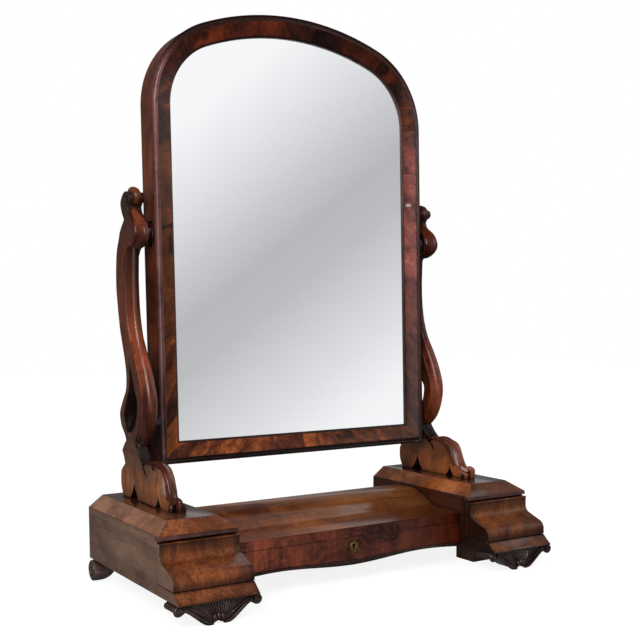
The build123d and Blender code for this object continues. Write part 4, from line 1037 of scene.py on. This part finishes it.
def darken(piece, line):
    # the walls of the piercings get the near-black finish, painted shade: faces that stand across the board
    # within 2 mm of the line
    mesh = piece.data
    centre, normal = np.zeros((2, len(mesh.polygons) * 3))
    mesh.polygons.foreach_get("center", centre)
    mesh.polygons.foreach_get("normal", normal)
    flat = centre.reshape(-1, 3)[:, 1:] * 1000
    near = np.min(np.linalg.norm(flat[:, None] - line[None], axis=2), axis=1) < 2.0
    mesh.materials.append(wood["hollow"])
    mesh.polygons.foreach_set("material_index", (near & (np.abs(normal[::3]) < 0.6)).astype(np.int32))


outline = joined(backLine, arches, [(-30, 137.5)], toeFront, hookNotch, faceArris, headFront)
boardShape = plate("yz", [outline, teardrop], post["inner"], post["outer"], post["arris"], 4)
collar = roll(collarCrest[::-1], middleX - 0.5, 12.8, ridged(0.2, 1.2, 7.5), 14)
eyeCentre = np.array([post["inner"], post["eyeY"], post["eyeZ"]])
roundel = turned([(0, 5.2), (0.9, 7.2), (2.2, 8.0), (22.8, 8.0), (24.1, 7.2), (25, 5.2)], eyeCentre, 40)
eye = turned([(0, 3.0), (0.6, 3.8), (26.2, 3.8), (26.8, 3.0)], eyeCentre - [0.9, 0, 0], 24)
# a waisted boss: a bead, a hollow and a bead, turned about the pivots' line
bossShape = turned([(0, 12.5), (0.4, 15.6), (1.5, 17), (2.7, 16.6), (3.6, 15.0), (5.0, 14.2), (6.4, 15.0),
                    (7.3, 16.6), (8.5, 17), (9.6, 15.6), (10, 12.5)],
                   (post["inner"] - 10, mirror["pivotY"], mirror["pivotZ"]), 56)
for board in carvePair("UprightBoard", boardShape, "upright", "board"):
    darken(board, np.vstack([teardrop, arches, toeFront[-8:], hookNotch[:14]]))
carvePair("UprightCarving", carvings(), "upright", "carved")
# the collar, the roundel and the eye in the near-black finish: painted shade
carvePair("UprightHollows", gathered(collar, roundel, eye), "upright", "hollow")
carvePair("Boss", bossShape, "pivot_boss", "darkRail")
print("uprights carved")


# Feet
foot = {"middle": 286.0, "front": -172.0, "back": -131.0, "top": 34.5, "relief": 3.0, "rear": 17.0,
        "arm": 62.1, "volute": 27.6}


def evenly(values, places, count):
    # the values met at places between nought and one, at even steps
    return np.interp(np.linspace(0, 1, count), places, values)


def frontFoot():
    # a bracket with C scrolls on both arms, a shell of ribs in its middle and a volute at each end
    front, end, top = foot["front"], foot["arm"], foot["top"]
    arm = smooth([(3, 3.4), (9.5, 1.4), (16, 2.4), (22.5, 5.6), (30, 11.2), (38, 17.6), (46, 23.4),
                  (53.5, 27.3), (58.5, 26.2)], 50)
    lower = joined(arm[::-1] * [-1, 1], smooth([(-3, 3.4), (0, 4.6), (3, 3.4)], 7), arm)
    outline = joined(lower, [(end, 27.5), (end, top), (-end, top), (-end, 27.5)])
    shapes = [plate("xz", [outline + [foot["middle"], 0]], front + foot["relief"] + 1.5, foot["back"], 1.2)]
    # the arm's moulding follows the lower edge, then winds into a volute; a thinner bead lies above it
    t = np.linspace(0, 1, 46)
    angle, radius = np.radians(-130 + 520 * t), 6.3 * (1 - 0.78 * t)
    wind = np.stack([end + radius * np.cos(angle), foot["volute"] + radius * np.sin(angle)], -1)
    wound = spaced(joined(arm[4:-6] + [0, 0.6], wind), 110)
    upper = smooth([(15, 12), (22, 14.5), (30, 19.5), (39, 25.5), (47, 29.5), (55, 31.0)], 40)
    lean = evenly([1.2, 1.6, 1.2, -0.4], [0, 0.5, 0.7, 1], 110) + front + 2.2
    thick = evenly([1.6, 3.0, 2.7, 2.4, 1.3], [0, 0.12, 0.5, 0.72, 1], 110)
    thin = evenly([0.8, 2.2, 1.5], [0, 0.2, 1], 40)
    points, faces, flats = turned([(0, 4.2), (0.8, 5.0), (38, 5.0), (38.8, 4.2)], (0, 0, 0), 28)
    for way in (-1, 1):
        for line, y, radius, count in ((wound, lean, thick, 12), (upper, front + 3.6, thin, 10)):
            path = np.stack([foot["middle"] + way * line[:, 0], y + 0 * line[:, 0], line[:, 1]], -1)
            shapes.append(tube(path, radius, count))
        centre = [foot["middle"] + way * end, front + 2.0, foot["volute"]]
        shapes.append((points[:, [1, 0, 2]] + centre, faces, flats))
    return gathered(*shapes, *shell())


def shell():
    # A palmette of upright ribs that spread as they rise: x is u times a width that grows with v, and the
    # ribs are the absolute cosine of nine half turns across. Three small lobes tie the scrolls under them.
    u = np.linspace(-1, 1, 127)[:, None]
    v = np.linspace(0, 1, 20)[None]
    x = foot["middle"] + (11.5 + 11.0 * v) * u
    z = 12.0 + 3.0 * u**2 + (22.3 - 3.0 * u**2) * v
    ribs = np.abs(np.cos(u * np.pi * 4.5)) ** 0.6
    lift = (0.8 + 2.6 * ribs) * np.sqrt(np.clip(1 - (2 * v - 1) ** 6, 0, 1)) * (1 - 0.45 * v)
    front = np.stack([x, foot["front"] + foot["relief"] + 1.4 - lift, z], -1)
    behind = np.stack([x, foot["front"] + 8 + 0 * x, z], -1)
    shapes = [skin(np.concatenate([front, behind[:, ::-1]], axis=1))]
    for place, low, high, size in ((-6.2, 5.2, 14.5, 3.1), (0, 6.4, 16.0, 3.3), (6.2, 5.2, 14.5, 3.1)):
        z = np.linspace(low, high, 14)
        path = np.stack([foot["middle"] + place + 0 * z, foot["front"] + 2.9 + 0 * z, z], -1)
        shapes.append(tube(path, size * np.sin(np.linspace(0.25, np.pi - 0.25, 14)) ** 0.5, 16))
    return shapes


def rearFoot():
    # a drum on its side with a rim and a spiral on its outer face, tapering inwards, and a block over it
    radius, end = foot["rear"], box["outer"] + 4.0
    centre = np.array([end, box["back"] - radius, radius])
    profile = [(-39, 5.5), (-36.5, 8.6), (-32, 12.0), (-27, 14.6), (-21, 16.5), (-15.5, 17), (-3.2, 17),
               (-1.2, 16.4), (-0.9, 14.6), (-2.2, 13.2), (-2.2, 0.01)]
    t = np.linspace(0, 1, 120)
    angle, spiral = np.radians(100 + 720 * t), 14.2 * (1 - 0.9 * t)
    path = np.stack([0.9 * t - 2.0, spiral * np.cos(angle), spiral * np.sin(angle)], -1) + centre
    corners = ((-13.5, -11), (13.5, -11), (13.5, 11), (-13.5, 11))
    seat = np.array([(x, y, z) for z in (0, foot["top"] - radius) for x, y in corners])
    seat = seat + centre - [26.5, 0, 0]
    quads = [[0, 1, 2, 3], [7, 6, 5, 4], [0, 4, 5, 1], [1, 5, 6, 2], [2, 6, 7, 3], [3, 7, 4, 0]]
    return gathered(turned(profile, centre, 56), tube(path, 2.5 * (1 - 0.35 * t), 10), (seat, [], quads))


carvePair("FrontFoot", frontFoot(), "front_foot", "footWood")
carvePair("RearFoot", rearFoot(), "rear_foot", "drumWood")
print("feet carved")


# Which finish each other piece has
finishes = {
    "lidFlat": "box_top", "lipWood": "box_lip", "block": "foot_block",
    "pine": "box_bottom drawer_outer_side drawer_inner_side drawer_bottom centre_drawer_left_side "
            "centre_drawer_right_side glass_blocks",
    "pineX": "box_back drawer_back platform_back platform_dust_board centre_drawer_back "
             "centre_drawer_bottom",
    "pineZ": "mirror_backboard",
}
finishOf = {kind: wood[finish] for finish, kinds in finishes.items() for kind in kinds.split()}
finishOf.update({"pivot_plate": brass, "pivot_socket": brass, "escutcheon": brass, "lock_case": steel,
                 "lock_bolt": steel, "upright_screws": steel, "backboard_screws": steel,
                 "mirror_glass": silvered})
plain = ("mirror_glass", "upright_screws", "backboard_screws", "pivot_plate", "pivot_socket",
         "glass_blocks", "lock_bolt", "lock_case")
carvedNodes = {name for piece in bpy.data.objects for name in piece.get("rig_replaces", [])}
for node, piece in nodes.items():
    kind = node.removeprefix("left_").removeprefix("right_")
    if kind in plain:
        piece.data.materials.clear()
        piece.data.materials.append(finishOf[kind])
    elif node not in carvedNodes:
        softened(node, finishOf[kind], 0.0004 if kind == "escutcheon" else 0.0008)
    if kind == "box_top":
        # the lid's slopes take their own finishes by the way they face: its ends pale, its front and back
        # warm
        facing(bpy.data.objects[node + "Finished"],
               lambda x, y, z: np.where(np.abs(x) > 0.4, 1, np.where(np.abs(y) > 0.4, 2, 0)),
               wood["lidEnd"], wood["lidFront"])
print("pieces finished")


# Floor, light and camera
studio = {"floorShade": 0.25, "floorSize": 6.0, "key": 46.0, "strip": 9.5, "fill": 9.0, "world": 0.62,
          "dimWall": 0.10, "cloth": 0.16, "backBand": 0.42, "pane": 3.0}
view = {"place": (-0.9219, -1.4422, 0.4340), "yaw": 32.32, "pitch": 4.68, "roll": -0.26, "lens": 57.93,
        "shiftY": 0.1217}


def makeFloor():
    # pale under the lamps, white to the eye but for the object's shadow; a gloss looks through it
    mesh = bpy.data.meshes.new("floor")
    size, level = studio["floorSize"], studio["floorShade"]
    corners = [(-size, -size, 0), (size, -size, 0), (size, size, 0), (-size, size, 0)]
    mesh.from_pydata(corners, [], [(0, 1, 2, 3)])
    floor = bpy.data.objects.new("floor", mesh)
    scene.collection.objects.link(floor)
    material = bpy.data.materials.new("paleFloor")
    material.use_nodes = True
    tree = shading["tree"] = material.node_tree
    tree.nodes.clear()
    path = addNode("LightPath").outputs
    lit = addNode("BsdfDiffuse", {"Color": grey(0.8)}).outputs[0]
    glow = addNode("Emission", {"Strength": 1 - level * 0.55}).outputs[0]
    shade = addNode("BsdfDiffuse", {"Color": grey(level)}).outputs[0]
    seen = addNode("AddShader", {0: glow, 1: shade}).outputs[0]
    choose = addNode("MixShader", {0: path["Is Camera Ray"], 1: lit, 2: seen}).outputs[0]
    through = addNode("BsdfTransparent").outputs[0]
    last = addNode("MixShader", {0: path["Is Glossy Ray"], 1: choose, 2: through}).outputs[0]
    addNode("OutputMaterial", {"Surface": last})
    mesh.materials.append(material)


def band(value, low, high, soft):
    # one between two values, falling softly to nought outside them
    rise = maths("DIVIDE", less(value, low - soft), soft, True)
    fall = maths("DIVIDE", less(high + soft, value), soft, True)
    return times(rise, fall, True)


def makeWorld():
    # A plain room: white to the eye. A pale cloth with a slanting grey shade hangs before the mirror, which
    # shows it sharply; polished wood shows only its glow, a pale band behind the mirror and the dim rest.
    world = bpy.data.worlds.new("studioRoom")
    scene.world = world
    world.use_nodes = True
    tree = shading["tree"] = world.node_tree
    tree.nodes.clear()
    path = addNode("LightPath").outputs
    place = addNode("TexCoord").outputs["Generated"]
    up = coordinate(place, "Z")

    def along(axis, low, high, soft):
        # the band of directions that go so far along an axis
        return band(vectors("DOT_PRODUCT", place, axis), low, high, soft)

    slant = less(up, times(vectors("DOT_PRODUCT", place, (0.860, 0.5105, 0)), 0.75))
    low, width = -0.12, 0.56
    share = maths("DIVIDE", less(slant, low), width, True)
    stops = [(-0.12, 0.98), (-0.096, 0.95), (-0.041, 0.79), (0.017, 0.66), (0.065, 0.545), (0.113, 0.515),
             (0.161, 0.63), (0.23, 0.83), (0.294, 0.99), (0.44, 1.0)]
    cloth = ramp(share, *(((at - low) / width, (v * 0.99, v * 0.99, v * (1.04 - 0.03 * v)))
                          for at, v in stops))
    toCloth = along((0.528, -0.845, 0.09), 0.80, 2.0, 0.16)
    behind = times(along((0.837, -0.547, 0), -0.13, 0.20, 0.02), band(up, 0.135, 0.235, 0.02))
    behind = times(behind, along((0, 1, 0), 0.3, 2.0, 0.1))
    glow = mixColour(toCloth, grey(studio["dimWall"]), grey(studio["cloth"]))
    glow = mixColour(behind, glow, grey(studio["backBand"]))
    glow = mixColour(along((-0.27, -0.96, 0.0), 0.975, 2.0, 0.03), glow, grey(studio["pane"]))
    sharp = mixColour(toCloth, grey(0.5), cloth)
    room = mixColour(path["Is Singular Ray"], glow, sharp)
    seen = mixColour(path["Is Camera Ray"], room, grey(1))
    # one for a ray that the camera, a gloss or a glass sends out
    sees = plus(path["Is Camera Ray"], path["Is Glossy Ray"], True)
    sees = plus(sees, path["Is Transmission Ray"], True)
    strength = plus(times(sees, 1 - studio["world"]), studio["world"])
    ground = addNode("Background", {"Color": mixColour(sees, grey(1), seen), "Strength": strength})
    addNode("OutputWorld", {"Surface": ground.outputs[0]})


def addLight(name, place, target, size, power):
    light = bpy.data.lights.new(name, "AREA")
    light.shape = "RECTANGLE"
    light.size, light.size_y = size
    light.energy = power
    lamp = bpy.data.objects.new(name, light)
    lamp.location = place
    lamp.rotation_euler = (Vector(target) - Vector(place)).to_track_quat("-Z", "Y").to_euler()
    scene.collection.objects.link(lamp)


def makeCamera():
    # the photograph's viewpoint: yaw, pitch and roll in degrees, and a shift for its framing
    yaw, pitch, roll = (math.radians(view[key]) for key in ("yaw", "pitch", "roll"))
    forward = np.array([math.sin(yaw) * math.cos(pitch), math.cos(yaw) * math.cos(pitch), -math.sin(pitch)])
    side = np.array([math.cos(yaw), -math.sin(yaw), 0.0])
    over = np.cross(side, forward)
    matrix = np.eye(4)
    matrix[:3] = np.transpose([math.cos(roll) * side + math.sin(roll) * over,
                               math.cos(roll) * over - math.sin(roll) * side, -forward, view["place"]])
    data = bpy.data.cameras.new("photoCamera")
    data.lens, data.sensor_width, data.shift_y = view["lens"], 36, view["shiftY"]
    camera = bpy.data.objects.new("photoCamera", data)
    scene.collection.objects.link(camera)
    camera.matrix_world = Matrix(matrix.tolist())
    scene.camera = camera


makeFloor()
makeWorld()
addLight("keyLight", (-2.1, -1.8, 2.3), (0, 0, 0.35), (1.6, 1.6), studio["key"])
addLight("stripLight", (-1.75, -1.5, 1.0), (-0.2, 0, 0.4), (0.5, 1.5), studio["strip"])
addLight("fillLight", (2.2, -1.2, 1.8), (0, 0, 0.4), (1.8, 1.8), studio["fill"])
makeCamera()
scene.view_settings.view_transform = "Standard"
print("studio ready")
